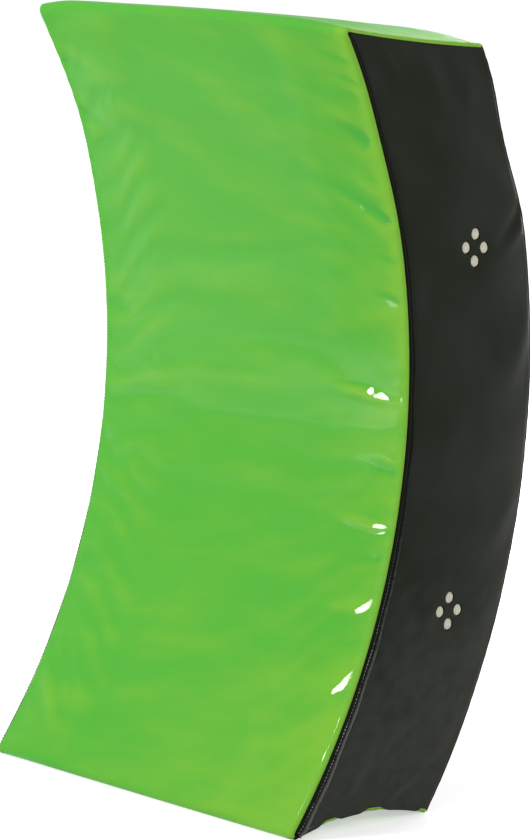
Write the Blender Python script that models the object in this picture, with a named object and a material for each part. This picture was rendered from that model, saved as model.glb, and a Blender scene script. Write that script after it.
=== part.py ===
"""A curved tackle wedge: a sewn vinyl cover over three layers of foam, with two grips and a zip
on its back. Metres, +Z up. It stands on its lower end, and its hollow strike face looks to -Y."""

import math

import bmesh
import bpy
import numpy as np
from mathutils import Matrix, Vector

# Overall form
HEIGHT = 0.700  # floor to the top seams
WIDTH = 0.380  # side seam to side seam
DEPTH = 0.187  # front lip to back edge, at each end
FRONT_RISE = 0.117  # how deep the strike face is hollowed
BACK_RISE = 0.104  # how far the back bows out
BACK_NECK = 0.008  # how far the back is drawn in below the upper end
NECK_HEIGHT = 0.170  # from there to the upper end
LIP_RADIUS = 0.005  # rounding of the front and back edges, seen from the side
EDGE_ROLL = 0.0035  # rounding where the cover turns over to the gussets
FOOT_ARCH = 0.0120  # how far the side seams draw up the foot, between its ends
TOP_FALL = 0.007  # how far the side seams draw down the upper end, at its back
LIP_SWELL = 0.007  # swell of the upper end's front edge
DRAW_REACH = 0.060  # how far from the seams and the ends these are felt

# Cover
SKIN = 0.0012  # vinyl with its woven backing
GAP = 0.0003  # between pieces that touch
FRONT_CROWN = 0.004  # swell of the strike face between its side seams
TOP_CROWN = 0.009  # swell of the upper end
GUSSET_CROWN = 0.006  # swell of each side
WELT_WIDTH = 0.009  # rolled bead along the strike face's side seams
WELT_HEIGHT = 0.0045
WELT_GROOVE = 0.003  # flat strip between the bead and the gusset's swell

# Foam, measured from front to back
STRIKE_FOAM = 0.050
BACKING_FOAM = 0.022

# Air vents punched through both gussets, four holes in a diamond
VENT_RADIUS = 0.0057
VENT_SPREAD = 0.0240  # across the diamond
VENT_SPACING = 0.327  # upper cluster to lower cluster
VENT_SETBACK = 0.096  # behind the strike face
VENT_CLEARANCE = 0.0005  # round the foam that swells into a hole
VENT_SWELL = 0.0007  # how far the foam stands out of a hole

# Zip across the back
ZIP_RISE = 0.070  # from the lower edge, along the back
ZIP_WINDOW = 0.017  # opening in the back panel, across the zip
ZIP_SEAM = 0.008  # how far the tapes reach under the panel
ZIP_BORDER = 0.004  # flat panel beyond the tapes
ZIP_INSET = 0.0085  # from the tapes' ends to the rolled side edges
TAPE = 0.0008  # thickness
TAPE_TAIL = 0.010  # bare tape past each end of the chain
SLIT = 0.0014  # between the two halves of the chain
TOOTH_PITCH = 0.004
TOOTH_LENGTH = 0.0017
TOOTH_HEIGHT = 0.003
CHAIN_SPINE = 0.0010
STOP_LENGTH = 0.004
SLIDER_LENGTH = 0.022
SLIDER_WIDTH = 0.0112
SLIDER_PLATE = 0.0014
SLIDER_PLAY = 0.00035  # to the teeth and tapes
SLIDER_PARKED = 0.0005  # to the stop, zip closed
CHANNEL_FLOOR = 0.001  # foam cleared under the slider
RING_RADIUS = 0.0036  # to the middle of its wire
RING_WIRE = 0.0006  # radius of its wire
BRIDGE_BAR = 0.0016  # the slider's loop, square in section
BRIDGE_SPAN = 0.0100
PULLER_LENGTH = 0.030
PULLER_WIDTH = 0.009
PULLER_THICKNESS = 0.0014
PULLER_EYE = 0.0013  # radius of its hole

# Grips: webbing loops sewn to the back, each with a padded sleeve
GRIP_OFFSET = 0.090  # from the middle of the back
GRIP_SPAN = 0.300  # between the sewn ends' centres, along the back
GRIP_STRAIGHT = 0.130
HAND_SPACE = 0.036  # between the back and a sleeve
WEBBING_WIDTH = 0.038
WEBBING = 0.0022  # thickness
SEWN_LENGTH = 0.046
PATCH_WIDTH = 0.056
PATCH_LENGTH = 0.062
PATCH = 0.0012
PATCH_CORNER = 0.008
SLEEVE_LENGTH = 0.122
SLEEVE_WIDTH = 0.048
SLEEVE_THICKNESS = 0.015
SLEEVE_NECK = 0.80  # share of the sleeve's section left at its ends

# Fineness
CORNER_STEPS = 3
ROLL_STEPS = 2
ROW_STEP = 0.056
FACE_STEPS = 6
CORE_STEPS = 3
ROUND_STEPS = 16

LOOKS = {  # colour, roughness, metallic
    "green vinyl": ((0.118, 0.530, 0.050), 0.30, 0.0),
    "black vinyl": ((0.022, 0.022, 0.020), 0.38, 0.0),
    "strike foam": ((0.72, 0.70, 0.62), 0.90, 0.0),
    "cream foam": ((0.80, 0.74, 0.58), 0.90, 0.0),
    "grey foam": ((0.30, 0.31, 0.32), 0.90, 0.0),
    "black webbing": ((0.016, 0.016, 0.017), 0.80, 0.0),
    "black tape": ((0.014, 0.014, 0.015), 0.85, 0.0),
    "black nylon": ((0.020, 0.020, 0.021), 0.45, 0.0),
    "dark metal": ((0.10, 0.10, 0.11), 0.35, 1.0),
}


def bulge(share):
    """1 in the middle, 0 where share is -1 or 1, and steepest at those seams."""
    return 1 - min(abs(share), 1) ** 3


# Meshes


def block(cells, corner, sheet=False):
    """A closed solid whose skin is a lattice. corner(a, b, c) places each lattice point. Twisted
    cells fold inwards, or outwards on both faces of a sheet, so that a cover clears its foam."""
    shape = bmesh.new()
    placed = {}
    outward = set()

    def vert(index):
        if index not in placed:
            placed[index] = shape.verts.new(corner(*index))
        return placed[index]

    for axis in range(3):
        first, second = (other for other in range(3) if other != axis)
        for level in (0, cells[axis]):
            for u in range(cells[first]):
                for v in range(cells[second]):
                    ring = []
                    for du, dv in ((0, 0), (1, 0), (1, 1), (0, 1)):
                        index = [level] * 3
                        index[first], index[second] = u + du, v + dv
                        ring.append(vert(tuple(index)))
                    face = shape.faces.new(ring)
                    if sheet and not (axis == 2 and level):
                        outward.add(face)
    bmesh.ops.recalc_face_normals(shape, faces=shape.faces)
    for face in list(shape.faces):
        a, b, c, d = face.verts
        lean = (a.co + c.co - b.co - d.co).dot(face.normal)
        ends = (a, c) if (lean > 0) == (face in outward) else (b, d)
        bmesh.utils.face_split(face, *ends)
    return shape


def loft(loops, closed=False):
    """Loops of points skinned one to the next, with capped ends, or joined end to end if closed."""
    shape = bmesh.new()
    rings = [[shape.verts.new(point) for point in loop] for loop in loops]
    pairs = list(zip(rings, rings[1:]))
    if closed:
        pairs.append((rings[-1], rings[0]))
    else:
        shape.faces.new(rings[0])
        shape.faces.new(rings[-1])
    for ring, following in pairs:
        for n in range(len(ring)):
            m = (n + 1) % len(ring)
            shape.faces.new((ring[n], ring[m], following[m], following[n]))
    bmesh.ops.recalc_face_normals(shape, faces=shape.faces)
    return shape


def prism(outline, low, high, axes="xyz"):
    """An outline of 2-D points, raised from low to high along the last of the axes."""
    spots = ["xyz".index(letter) for letter in axes]

    def raised(level):
        points = []
        for u, v in outline:
            point = [0.0, 0.0, 0.0]
            point[spots[0]], point[spots[1]], point[spots[2]] = u, v, level
            points.append(point)
        return points

    return loft([raised(low), raised(high)])


def box(low, high):
    (x0, y0, z0), (x1, y1, z1) = low, high
    return prism([(x0, y0), (x1, y0), (x1, y1), (x0, y1)], z0, z1)


def rounded_outline(half_length, half_width, radius, steps=4):
    """A rectangle with round corners, as 2-D points."""
    points = []
    for quarter in range(4):
        sx, sy = ((1, 1), (-1, 1), (-1, -1), (1, -1))[quarter]
        centre = Vector((sx * (half_length - radius), sy * (half_width - radius)))
        for step in range(steps + 1):
            turn = (quarter + step / steps) * math.pi / 2
            points.append(tuple(centre + radius * Vector((math.cos(turn), math.sin(turn)))))
    return points


# Objects


def material(name, look):
    colour, roughness, metallic = LOOKS[look]
    made = bpy.data.materials.new(f"{look} {name}")
    made.use_nodes = True
    surface = made.node_tree.nodes["Principled BSDF"]
    surface.inputs["Base Color"].default_value = (*colour, 1)
    surface.inputs["Roughness"].default_value = roughness
    surface.inputs["Metallic"].default_value = metallic
    made.diffuse_color = (*colour, 1)
    return made


def piece(name, shape, look, place=None, parent=None):
    mesh = bpy.data.meshes.new(name)
    shape.to_mesh(mesh)
    shape.free()
    mesh.shade_smooth()
    mesh.set_sharp_from_angle(angle=math.radians(35))
    mesh.materials.append(material(name, look))
    made = bpy.data.objects.new(name, mesh)
    bpy.context.collection.objects.link(made)
    if parent:
        made.parent = parent
        made.matrix_parent_inverse = parent.matrix_world.inverted()
    if place:
        made.matrix_world = place
    bpy.context.view_layer.update()
    return made


def tool(name, shape, place=None):
    """A shape that only cuts or joins others."""
    made = piece(name, shape, "grey foam", place)
    made.hide_render = True
    made.display_type = "WIRE"
    return made


def combine(target, other, operation):
    change = target.modifiers.new(other.name, "BOOLEAN")
    change.operation = operation
    change.solver = "EXACT"
    change.object = other


def joined(shapes):
    """Shapes that don't meet, in one mesh."""
    whole = bmesh.new()
    for shape in shapes:
        scratch = bpy.data.meshes.new("scratch")
        shape.to_mesh(scratch)
        shape.free()
        whole.from_mesh(scratch)
        bpy.data.meshes.remove(scratch)
    return whole


# The pad's side view


class Side:
    """The front or the back, seen from the side: an arc with a rounded corner at each end."""

    def __init__(self, facing, foot, rise, neck=0.0):
        half = HEIGHT / 2
        self.facing = facing  # -1 looks to -Y, 1 to +Y
        self.neck = neck
        self.radius = (half**2 + rise**2) / (2 * rise)
        self.centre = foot + rise - self.radius
        corner_radius = self.radius - facing * LIP_RADIUS
        self.end = math.asin((half - LIP_RADIUS) / corner_radius)
        self.corner_centre = self.centre + corner_radius * math.cos(self.end)
        self.length = 2 * self.radius * self.end

    def corner(self, share):
        """A point on the lower rounding and its normal, from the floor (0) to the arc (1)."""
        turn = share * (math.pi / 2 - self.facing * self.end)
        normal = np.array((self.facing * math.sin(turn), -math.cos(turn)))
        return np.array((self.corner_centre, LIP_RADIUS)) + LIP_RADIUS * normal, normal

    def arc(self, share):
        """A point on the arc and its normal, from its lower end (-1) to its upper end (1)."""
        out = np.array((math.cos(share * self.end), math.sin(share * self.end)))
        into_neck = (self.radius * out[1] + NECK_HEIGHT - HEIGHT / 2) / NECK_HEIGHT
        drawn_in = self.neck * math.sin(math.pi * max(into_neck, 0)) ** 2
        radius = self.radius - self.facing * drawn_in
        return np.array((self.centre, HEIGHT / 2)) + radius * out, self.facing * out

    def y_at(self, z):
        return self.centre + math.sqrt(self.radius**2 - (z - HEIGHT / 2) ** 2)

    def share_at(self, z):
        return math.asin((z - HEIGHT / 2) / self.radius) / self.end

    def rows(self, shares):
        lower = [self.corner(step / CORNER_STEPS) for step in range(CORNER_STEPS)]
        flip = np.array((1, -1))
        upper = [(point * flip + (0, HEIGHT), normal * flip) for point, normal in lower]
        return lower + [self.arc(share) for share in shares] + upper[::-1]


FRONT = Side(-1, -DEPTH / 2, FRONT_RISE)
BACK = Side(1, DEPTH / 2, BACK_RISE, BACK_NECK)

# Flat stretches of the back, one row of faces each, for what is sewn there
CHAIN_EDGE = SLIT / 2 + TOOTH_LENGTH + CHAIN_SPINE
TAPE_EDGE = ZIP_WINDOW / 2 + ZIP_SEAM
FLATS = {
    "zip": (ZIP_RISE, 2 * (TAPE_EDGE + ZIP_BORDER)),
    "lower ends": (BACK.length / 2 - GRIP_SPAN / 2, PATCH_LENGTH),
    "upper ends": (BACK.length / 2 + GRIP_SPAN / 2, PATCH_LENGTH),
}


def arc_rows():
    """Shares of the back's arc at which rows meet, and the row of each flat stretch."""
    marks, flat_rows = [0.0], {}

    def fill(end):
        start = marks[-1]
        steps = math.ceil((end - start) / ROW_STEP)
        marks.extend(start + (end - start) * (n + 1) / steps for n in range(steps))

    for name, (middle, length) in FLATS.items():
        fill(middle - length / 2)
        flat_rows[name] = CORNER_STEPS + len(marks) - 1
        marks.append(middle + length / 2)
    fill(BACK.length)
    return [2 * mark / BACK.length - 1 for mark in marks], flat_rows


SHARES, FLAT_ROWS = arc_rows()
FRONT_ROWS = FRONT.rows(SHARES)
BACK_ROWS = BACK.rows(SHARES)
LAST_ROW = len(FRONT_ROWS) - 1


def column_shares(row):
    """How far back each column of the lattice lies in a row, from 0 at the front to 1."""
    length = np.linalg.norm(BACK_ROWS[row][0] - FRONT_ROWS[row][0])
    core = np.linspace(STRIKE_FOAM, length - BACKING_FOAM, CORE_STEPS + 1)
    return [0, (WELT_WIDTH + WELT_GROOVE) / length, *(core / length), 1]


COLUMNS = [column_shares(row) for row in range(LAST_ROW + 1)]
FLAT_COLUMN = 1  # the gusset is flat under the welt up to here
STRIKE_COLUMN = 2
BACKING_COLUMN = STRIKE_COLUMN + CORE_STEPS
LAST_COLUMN = BACKING_COLUMN + 1


def across_stations():
    """(x, side, turn) across the pad: side is -1, 0 or 1, and turn goes round the rolled edge."""
    half = WIDTH / 2 - EDGE_ROLL
    flat = [(half * (2 * n / FACE_STEPS - 1), 0, 0.0) for n in range(FACE_STEPS + 1)]
    turns = [(n + 1) / ROLL_STEPS * math.pi / 2 for n in range(ROLL_STEPS)]
    left = [(-half, -1, turn) for turn in reversed(turns)]
    right = [(half, 1, turn) for turn in turns]
    return left + flat + right


ACROSS = across_stations()
LAST_ACROSS = len(ACROSS) - 1


def row_share(row):
    """-1 at the arcs' lower ends, 1 at their upper ends, and held there round the corners."""
    inner = min(max(row - CORNER_STEPS, 0), len(SHARES) - 1)
    return SHARES[inner]


def gusset_swell(column_share, flat_share, height_share):
    back_from_welt = (column_share - flat_share) / (1 - flat_share)
    if back_from_welt <= 0:
        return 0.0
    return GUSSET_CROWN * bulge(2 * back_from_welt - 1) * bulge(height_share)


def drawn(across, share, z):
    """How far the side seams draw a point up from the foot, or down from the upper end, whose front
    edge swells between them."""
    x, side, _ = ACROSS[across]
    half = WIDTH / 2 - EDGE_ROLL
    edge = 1 if side else max(0, 1 - (half - abs(x)) / DRAW_REACH)
    low, high = (min(max(1 - reach / DRAW_REACH, 0), 1) for reach in (z, HEIGHT - z))
    up = edge * low * FOOT_ARCH * 4 * share * (1 - share)
    down = edge * high * TOP_FALL * (1 - (1 - share) ** 2)
    return up - down + high * LIP_SWELL * bulge(x / half) * (1 - share) ** 3


def pad_point(across, row, column, inset, trim=0.0, shift=0.0):
    """A point on the pad, inset under its skin. trim draws a side in from its seams, and shift
    moves an inner column back."""
    x, side, turn = ACROSS[across]
    roll = EDGE_ROLL - inset
    depth = inset + roll * (1 - math.cos(turn)) + trim
    height_share = row_share(row)
    face = FRONT_CROWN * bulge(2 * x / (WIDTH - 2 * EDGE_ROLL)) * bulge(height_share)
    (front, front_normal), (back, back_normal) = FRONT_ROWS[row], BACK_ROWS[row]
    start = front - front_normal * (depth - face)
    end = back - back_normal * depth
    share = COLUMNS[row][column]
    y, z = start + (end - start) * share
    if row == LAST_ROW:
        z += TOP_CROWN * bulge(2 * x / (WIDTH - 2 * EDGE_ROLL)) * bulge(2 * share - 1)
    z += drawn(across, share, z)
    x += side * roll * math.sin(turn)
    if abs(turn) == math.pi / 2:
        x += side * gusset_swell(share, COLUMNS[row][FLAT_COLUMN], height_share)
    return x, y + shift, z


# Cover


def front_wrap():
    """One sheet over the lower end, the strike face and the upper end."""
    path = [(0, column) for column in range(LAST_COLUMN, 0, -1)]
    path += [(row, 0) for row in range(LAST_ROW + 1)]
    path += [(LAST_ROW, column) for column in range(1, LAST_COLUMN + 1)]
    cells = (len(path) - 1, LAST_ACROSS, 1)

    def corner(along, across, layer):
        return pad_point(across, *path[along], layer * SKIN)

    shape = block(cells, corner, sheet=True)
    return piece("front_wrap", shape, "green vinyl")


def back_panel():
    def corner(row, across, layer):
        x, y, z = pad_point(across, row, LAST_COLUMN, layer * SKIN)
        return x, y + (GAP if row in (0, LAST_ROW) else 0), z

    made = piece("back_panel", block((LAST_ROW, LAST_ACROSS, 1), corner, sheet=True), "black vinyl")
    half = ZIP_CHAIN_HALF + TAPE_TAIL / 2
    outline = rounded_outline(half, ZIP_WINDOW / 2, ZIP_WINDOW / 4)
    window = tool("zip_window", prism(outline, -4 * SKIN, 3 * SKIN), flat_frame("zip"))
    combine(made, window, "DIFFERENCE")
    return made


def gusset(name, across, vents):
    def corner(row, column, layer):
        return pad_point(across, row, column, layer * SKIN, trim=GAP)

    made = piece(name, block((LAST_ROW, LAST_COLUMN, 1), corner, sheet=True), "black vinyl")
    combine(made, vents, "DIFFERENCE")
    return made


def welt(name, side):
    """A half-round bead lying on the gusset, along the strike face's seam."""
    loops = []
    stations = np.linspace(-1, 1, 2 * FACE_STEPS + 1)
    for share in (stations[0], 0.98 * stations[0], *stations[1:-1], 0.98 * stations[-1], stations[-1]):
        point, normal = FRONT.arc(share)
        size = 0.6 if abs(share) == 1 else 1.0
        loop = []
        for step in range(ROUND_STEPS // 2 + 1):
            turn = math.pi * step / (ROUND_STEPS // 2)
            depth = EDGE_ROLL + WELT_WIDTH / 2 * (1 - size * math.cos(turn)) + GAP
            x = side * (WIDTH / 2 + GAP + size * WELT_HEIGHT * math.sin(turn))
            loop.append((x, *(point - normal * depth)))
        loops.append(loop)
    return piece(name, loft(loops), "black vinyl")


# Foam


def foam_layer(name, first, last, look):
    """One layer, between two columns of the lattice, with half the gap taken off an inner face."""

    def corner(across, row, column):
        shift = 0.0
        if first + column == first and first > 0:
            shift = GAP / 2
        elif first + column == last and last < LAST_COLUMN:
            shift = -GAP / 2
        return pad_point(across, row, first + column, SKIN + GAP, shift=shift)

    return piece(name, block((LAST_ACROSS, LAST_ROW, last - first), corner), look)


def vent_centres():
    for cluster in (-1, 1):
        z = HEIGHT / 2 + cluster * VENT_SPACING / 2
        y = FRONT.y_at(z) + VENT_SETBACK
        for turn in range(4):
            angle = turn * math.pi / 2
            reach = VENT_SPREAD / 2
            yield y + reach * math.cos(angle), z + reach * math.sin(angle)


def vent_punches():
    reach = WIDTH / 2 + 2 * GUSSET_CROWN
    punches = []
    for y, z in vent_centres():
        shape = bmesh.new()
        place = Matrix.Translation((0, y, z)) @ Matrix.Rotation(math.pi / 2, 4, "Y")
        bmesh.ops.create_cone(
            shape,
            cap_ends=True,
            segments=ROUND_STEPS,
            radius1=VENT_RADIUS,
            radius2=VENT_RADIUS,
            depth=2 * reach,
            matrix=place,
        )
        punches.append(shape)
    return tool("vent_punches", joined(punches))


def vent_domes():
    """The core foam swells into every vent hole."""
    domes = []
    radius = VENT_RADIUS - VENT_CLEARANCE
    for y, z in vent_centres():
        front, back = FRONT.y_at(z), BACK.y_at(z)
        depth = back - front
        flat_share = (WELT_WIDTH + WELT_GROOVE) / depth
        swell = gusset_swell((y - front) / depth, flat_share, FRONT.share_at(z))
        top = WIDTH / 2 + swell + VENT_SWELL
        height = SKIN + GAP + VENT_SWELL
        for side in (-1, 1):
            shape = bmesh.new()
            bmesh.ops.create_uvsphere(
                shape,
                u_segments=ROUND_STEPS - 4,
                v_segments=6,
                radius=1,
                matrix=Matrix.Translation((side * (top - 2 * height), y, z))
                @ Matrix.Diagonal((2 * height, radius, radius, 1))
                @ Matrix.Rotation(math.pi / 2, 4, "Y"),
            )
            domes.append(shape)
    return tool("vent_domes", joined(domes))


# Places on the back's flat stretches


def flat_frame(name, x=0.0):
    """A frame on a flat stretch of the back: its X is +X, its Y down the back and its Z outwards."""
    row = FLAT_ROWS[name]
    low, high = BACK_ROWS[row][0], BACK_ROWS[row + 1][0]
    middle = (low + high) / 2
    down = (low - high) / np.linalg.norm(low - high)
    frame = Matrix.Identity(4)
    frame.col[1] = (0, *down, 0)
    frame.col[2] = (0, -down[1], down[0], 0)
    frame.col[3] = (x, *middle, 1)
    return frame


# Zip

TAPE_HALF = WIDTH / 2 - EDGE_ROLL - ZIP_INSET
ZIP_CHAIN_HALF = TAPE_HALF - TAPE_TAIL
TAPE_TOP = -SKIN - GAP
CHAIN_LEVEL = TAPE_TOP - TAPE / 2
TOP_PLATE = CHAIN_LEVEL + TOOTH_HEIGHT / 2 + SLIDER_PLAY  # its lower face
BOTTOM_PLATE = CHAIN_LEVEL - TOOTH_HEIGHT / 2 - SLIDER_PLAY  # its upper face
CHANNEL_DEPTH = BOTTOM_PLATE - SLIDER_PLATE - CHANNEL_FLOOR
SLIDER_REST = -(ZIP_CHAIN_HALF - SLIDER_LENGTH / 2 - SLIDER_PARKED)
RING_REACH = RING_RADIUS + RING_WIRE
BAR_LEVEL = TOP_PLATE + SLIDER_PLATE + RING_REACH + GAP


def zip_channel():
    """Cuts the backing foam clear of the tapes and the slider."""
    low = (-TAPE_HALF - GAP, -TAPE_EDGE - GAP, CHANNEL_DEPTH)
    high = (TAPE_HALF + GAP, TAPE_EDGE + GAP, SKIN)
    return tool("zip_channel", box(low, high), flat_frame("zip"))


def zip_tape(name, side):
    edges = sorted((side * (CHAIN_EDGE + GAP), side * TAPE_EDGE))
    low = (-TAPE_HALF, edges[0], TAPE_TOP - TAPE)
    high = (TAPE_HALF, edges[1], TAPE_TOP)
    return piece(name, box(low, high), "black tape", flat_frame("zip"))


def zip_chain(name, side):
    """Half the chain: a spine with tapered teeth that point to the slit, half a pitch out of step."""
    count = int(2 * ZIP_CHAIN_HALF / TOOTH_PITCH) - 1
    root, tip = CHAIN_EDGE - CHAIN_SPINE, SLIT / 2
    outline = [(-ZIP_CHAIN_HALF, side * CHAIN_EDGE), (-ZIP_CHAIN_HALF, side * root)]
    for n in range(count):
        middle = (n - (count - 1) / 2 + side / 4) * TOOTH_PITCH
        for along, out in ((-0.32, root), (-0.24, tip), (0.24, tip), (0.32, root)):
            outline.append((middle + along * TOOTH_PITCH, side * out))
    outline += [(ZIP_CHAIN_HALF, side * root), (ZIP_CHAIN_HALF, side * CHAIN_EDGE)]
    low, high = CHAIN_LEVEL - TOOTH_HEIGHT / 2, CHAIN_LEVEL + TOOTH_HEIGHT / 2
    return piece(name, prism(outline, low, high), "black nylon", flat_frame("zip"))


def zip_stop(name, side):
    ends = sorted(side * (ZIP_CHAIN_HALF + GAP + reach) for reach in (0, STOP_LENGTH))
    thick = TOOTH_HEIGHT / 2
    low = (ends[0], -CHAIN_EDGE, CHAIN_LEVEL - thick)
    high = (ends[1], CHAIN_EDGE, CHAIN_LEVEL + thick)
    return piece(name, box(low, high), "dark metal", flat_frame("zip"))


def slider_section():
    """Top plate with lips over the tapes, a web in the slit and a bottom plate, seen end on."""
    half, web = SLIDER_WIDTH / 2, SLIT / 2 - SLIDER_PLAY
    lip = half - SLIDER_PLATE
    lip_end = TAPE_TOP + SLIDER_PLAY
    foot = half - SLIDER_PLATE / 2
    right = [
        (half, TOP_PLATE + SLIDER_PLATE),
        (half, lip_end),
        (lip, lip_end),
        (lip, TOP_PLATE),
        (web, TOP_PLATE),
        (web, BOTTOM_PLATE),
        (foot, BOTTOM_PLATE),
        (foot, BOTTOM_PLATE - SLIDER_PLATE),
    ]
    return right + [(-y, z) for y, z in reversed(right)]


def slider_plan():
    """The slider's outline seen from outside: square shoulders and a narrower nose."""
    half, nose = SLIDER_LENGTH / 2, 0.62 * SLIDER_WIDTH / 2
    side = [
        (-half, nose),
        (-half + SLIDER_LENGTH / 3, SLIDER_WIDTH / 2),
        (half - SLIDER_LENGTH / 8, SLIDER_WIDTH / 2),
        (half, SLIDER_WIDTH / 2 - SLIDER_LENGTH / 12),
    ]
    return side + [(x, -y) for x, y in reversed(side)]


def bridge():
    """A loop over the top plate, for the ring: two legs and a bar along the zip."""
    span, bar = BRIDGE_SPAN / 2, BRIDGE_BAR
    foot, under, over = TOP_PLATE + SLIDER_PLATE / 2, BAR_LEVEL - bar / 2, BAR_LEVEL + bar / 2
    outline = [
        (-span, foot),
        (-span + bar, foot),
        (-span + bar, under - bar / 2),
        (-span + 1.5 * bar, under),
        (span - 1.5 * bar, under),
        (span - bar, under - bar / 2),
        (span - bar, foot),
        (span, foot),
        (span, over - bar),
        (span - bar, over),
        (-span + bar, over),
        (-span, over - bar),
    ]
    return prism(outline, -bar / 2, bar / 2, axes="xzy")


def zip_slider():
    frame = flat_frame("zip", SLIDER_REST)
    half = SLIDER_LENGTH / 2
    made = piece("zip_slider", prism(slider_section(), -half, half, axes="yzx"), "dark metal", frame)
    plan = prism(slider_plan(), BOTTOM_PLATE - 2 * SLIDER_PLATE, BAR_LEVEL)
    combine(made, tool("slider_plan", plan, frame), "INTERSECT")
    combine(made, tool("slider_bridge", bridge(), frame), "UNION")
    return made


def ring_and_puller(slider):
    """The ring hangs on the bridge's bar, and the puller on the ring, both straight down."""
    bar = flat_frame("zip", SLIDER_REST) @ Vector((0, 0, BAR_LEVEL))
    bar_reach = BRIDGE_BAR / 2 * math.sqrt(2)
    drop = RING_RADIUS - RING_WIRE - bar_reach - GAP
    hinge = bpy.data.objects.new("ring_hinge", None)
    bpy.context.collection.objects.link(hinge)
    hinge.parent = slider
    hinge.matrix_parent_inverse = slider.matrix_world.inverted()
    hinge.matrix_world = Matrix.Translation(bar)
    bpy.context.view_layer.update()

    loops = []
    for step in range(ROUND_STEPS):
        turn = 2 * math.pi * step / ROUND_STEPS
        out = Vector((0, math.cos(turn), math.sin(turn)))
        middle = Vector((0, 0, -drop)) + RING_RADIUS * out
        loops.append([
            middle + RING_WIRE * (math.cos(a) * out + math.sin(a) * Vector((1, 0, 0)))
            for a in (n * math.pi / 4 for n in range(8))
        ])
    ring = piece("zip_ring", loft(loops, closed=True), "dark metal", Matrix.Translation(bar), hinge)

    wire = bar + Vector((0, 0, -drop - RING_RADIUS))
    eye_drop = PULLER_EYE - RING_WIRE - GAP
    neck, tail = PULLER_EYE + PULLER_THICKNESS, PULLER_WIDTH / 2
    top, end = neck - eye_drop, -PULLER_LENGTH
    side = [(neck / 2, top), (neck, top - neck / 2), (neck, -2 * neck), (tail, -3 * neck)]
    side += [(tail, end + tail / 2), (tail / 2, end)]
    outline = side + [(-x, z) for x, z in reversed(side)]
    half = PULLER_THICKNESS / 2
    puller = piece(
        "zip_puller",
        prism(outline, -half, half, axes="xzy"),
        "dark metal",
        Matrix.Translation(wire),
        ring,
    )
    eye = bmesh.new()
    turn = Matrix.Rotation(math.pi / 2, 4, "X")
    bmesh.ops.create_cone(
        eye,
        cap_ends=True,
        segments=ROUND_STEPS,
        radius1=PULLER_EYE,
        radius2=PULLER_EYE,
        depth=4 * PULLER_THICKNESS,
        matrix=Matrix.Translation((0, 0, -eye_drop)) @ turn,
    )
    combine(puller, tool("puller_eye", eye, Matrix.Translation(wire)), "DIFFERENCE")


# Grips

APEX = BACK.y_at(HEIGHT / 2)
GRIP_Y = APEX + HAND_SPACE + SLEEVE_THICKNESS / 2  # the webbing's middle, inside a sleeve


def patch(name, stretch, side):
    outline = rounded_outline(PATCH_WIDTH / 2, PATCH_LENGTH / 2, PATCH_CORNER)
    frame = flat_frame(stretch, side * GRIP_OFFSET)
    return piece(name, prism(outline, GAP, GAP + PATCH), "black vinyl", frame)


def webbing_route():
    """(y, z) points along the webbing's middle: sewn flat, out to the grip, and sewn flat again."""
    rise = PATCH + 2 * GAP + WEBBING / 2
    frame = flat_frame("lower ends")
    sewn = [frame @ Vector((0, y, rise)) for y in (SEWN_LENGTH / 2, -SEWN_LENGTH / 2)]
    start, heading = np.array(sewn[1])[1:], -np.array(frame.col[1])[1:3]
    grip = np.array((GRIP_Y, HEIGHT / 2 - GRIP_STRAIGHT / 2))
    pull = 1.25 * np.linalg.norm(grip - start)
    lower = [np.array(sewn[0])[1:], start]
    for step in range(1, ROUND_STEPS // 2 + 1):
        t = step / (ROUND_STEPS // 2)
        lower.append(
            (2 * t**3 - 3 * t**2 + 1) * start
            + (t**3 - 2 * t**2 + t) * pull * heading
            + (3 * t**2 - 2 * t**3) * grip
            + (t**3 - t**2) * pull * np.array((0, 1))
        )
    return lower + [point * (1, -1) + (0, HEIGHT) for point in reversed(lower)]


def webbing(name, side):
    route = webbing_route()
    loops = []
    for n, point in enumerate(route):
        before, after = route[max(n - 1, 0)], route[min(n + 1, len(route) - 1)]
        ahead = (after - before) / np.linalg.norm(after - before)
        out = np.array((ahead[1], -ahead[0])) * WEBBING / 2
        left, right = (side * GRIP_OFFSET + s * WEBBING_WIDTH / 2 for s in (-1, 1))
        inner, outer = point - out, point + out
        loops.append([(left, *inner), (right, *inner), (right, *outer), (left, *outer)])
    return piece(name, loft(loops), "black webbing")


def section(width, thickness, sharpness):
    """A closed outline between a rectangle and an ellipse, with the same number of points for any."""
    points = []
    for n in range(ROUND_STEPS):
        turn = 2 * math.pi * n / ROUND_STEPS + math.pi / 4
        c, s = math.cos(turn), math.sin(turn)
        square = np.array((c, s)) / max(abs(c), abs(s))
        length = (abs(square[0]) ** sharpness + abs(square[1]) ** sharpness) ** (1 / sharpness)
        points.append(square / length * (width / 2, thickness / 2))
    return points


def sleeve(name, side):
    """A padded sleeve with soft ends, and a flat bore for the webbing."""
    loops = []
    x, middle = side * GRIP_OFFSET, HEIGHT / 2

    def place(outline, z):
        loops.append([(x + u, GRIP_Y + v, z) for u, v in outline])

    for share, size in ((-1, SLEEVE_NECK), (-0.94, 0.94), (-0.5, 1), (0.5, 1), (0.94, 0.94), (1, SLEEVE_NECK)):
        outline = section(size * SLEEVE_WIDTH, size * SLEEVE_THICKNESS, 3)
        place(outline, middle + share * SLEEVE_LENGTH / 2)
    bore = section(WEBBING_WIDTH + 2 * GAP, WEBBING + 2 * GAP, 40)
    place(bore, middle + SLEEVE_LENGTH / 2)
    place(bore, middle - SLEEVE_LENGTH / 2)
    return piece(name, loft(loops, closed=True), "black vinyl")


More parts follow.
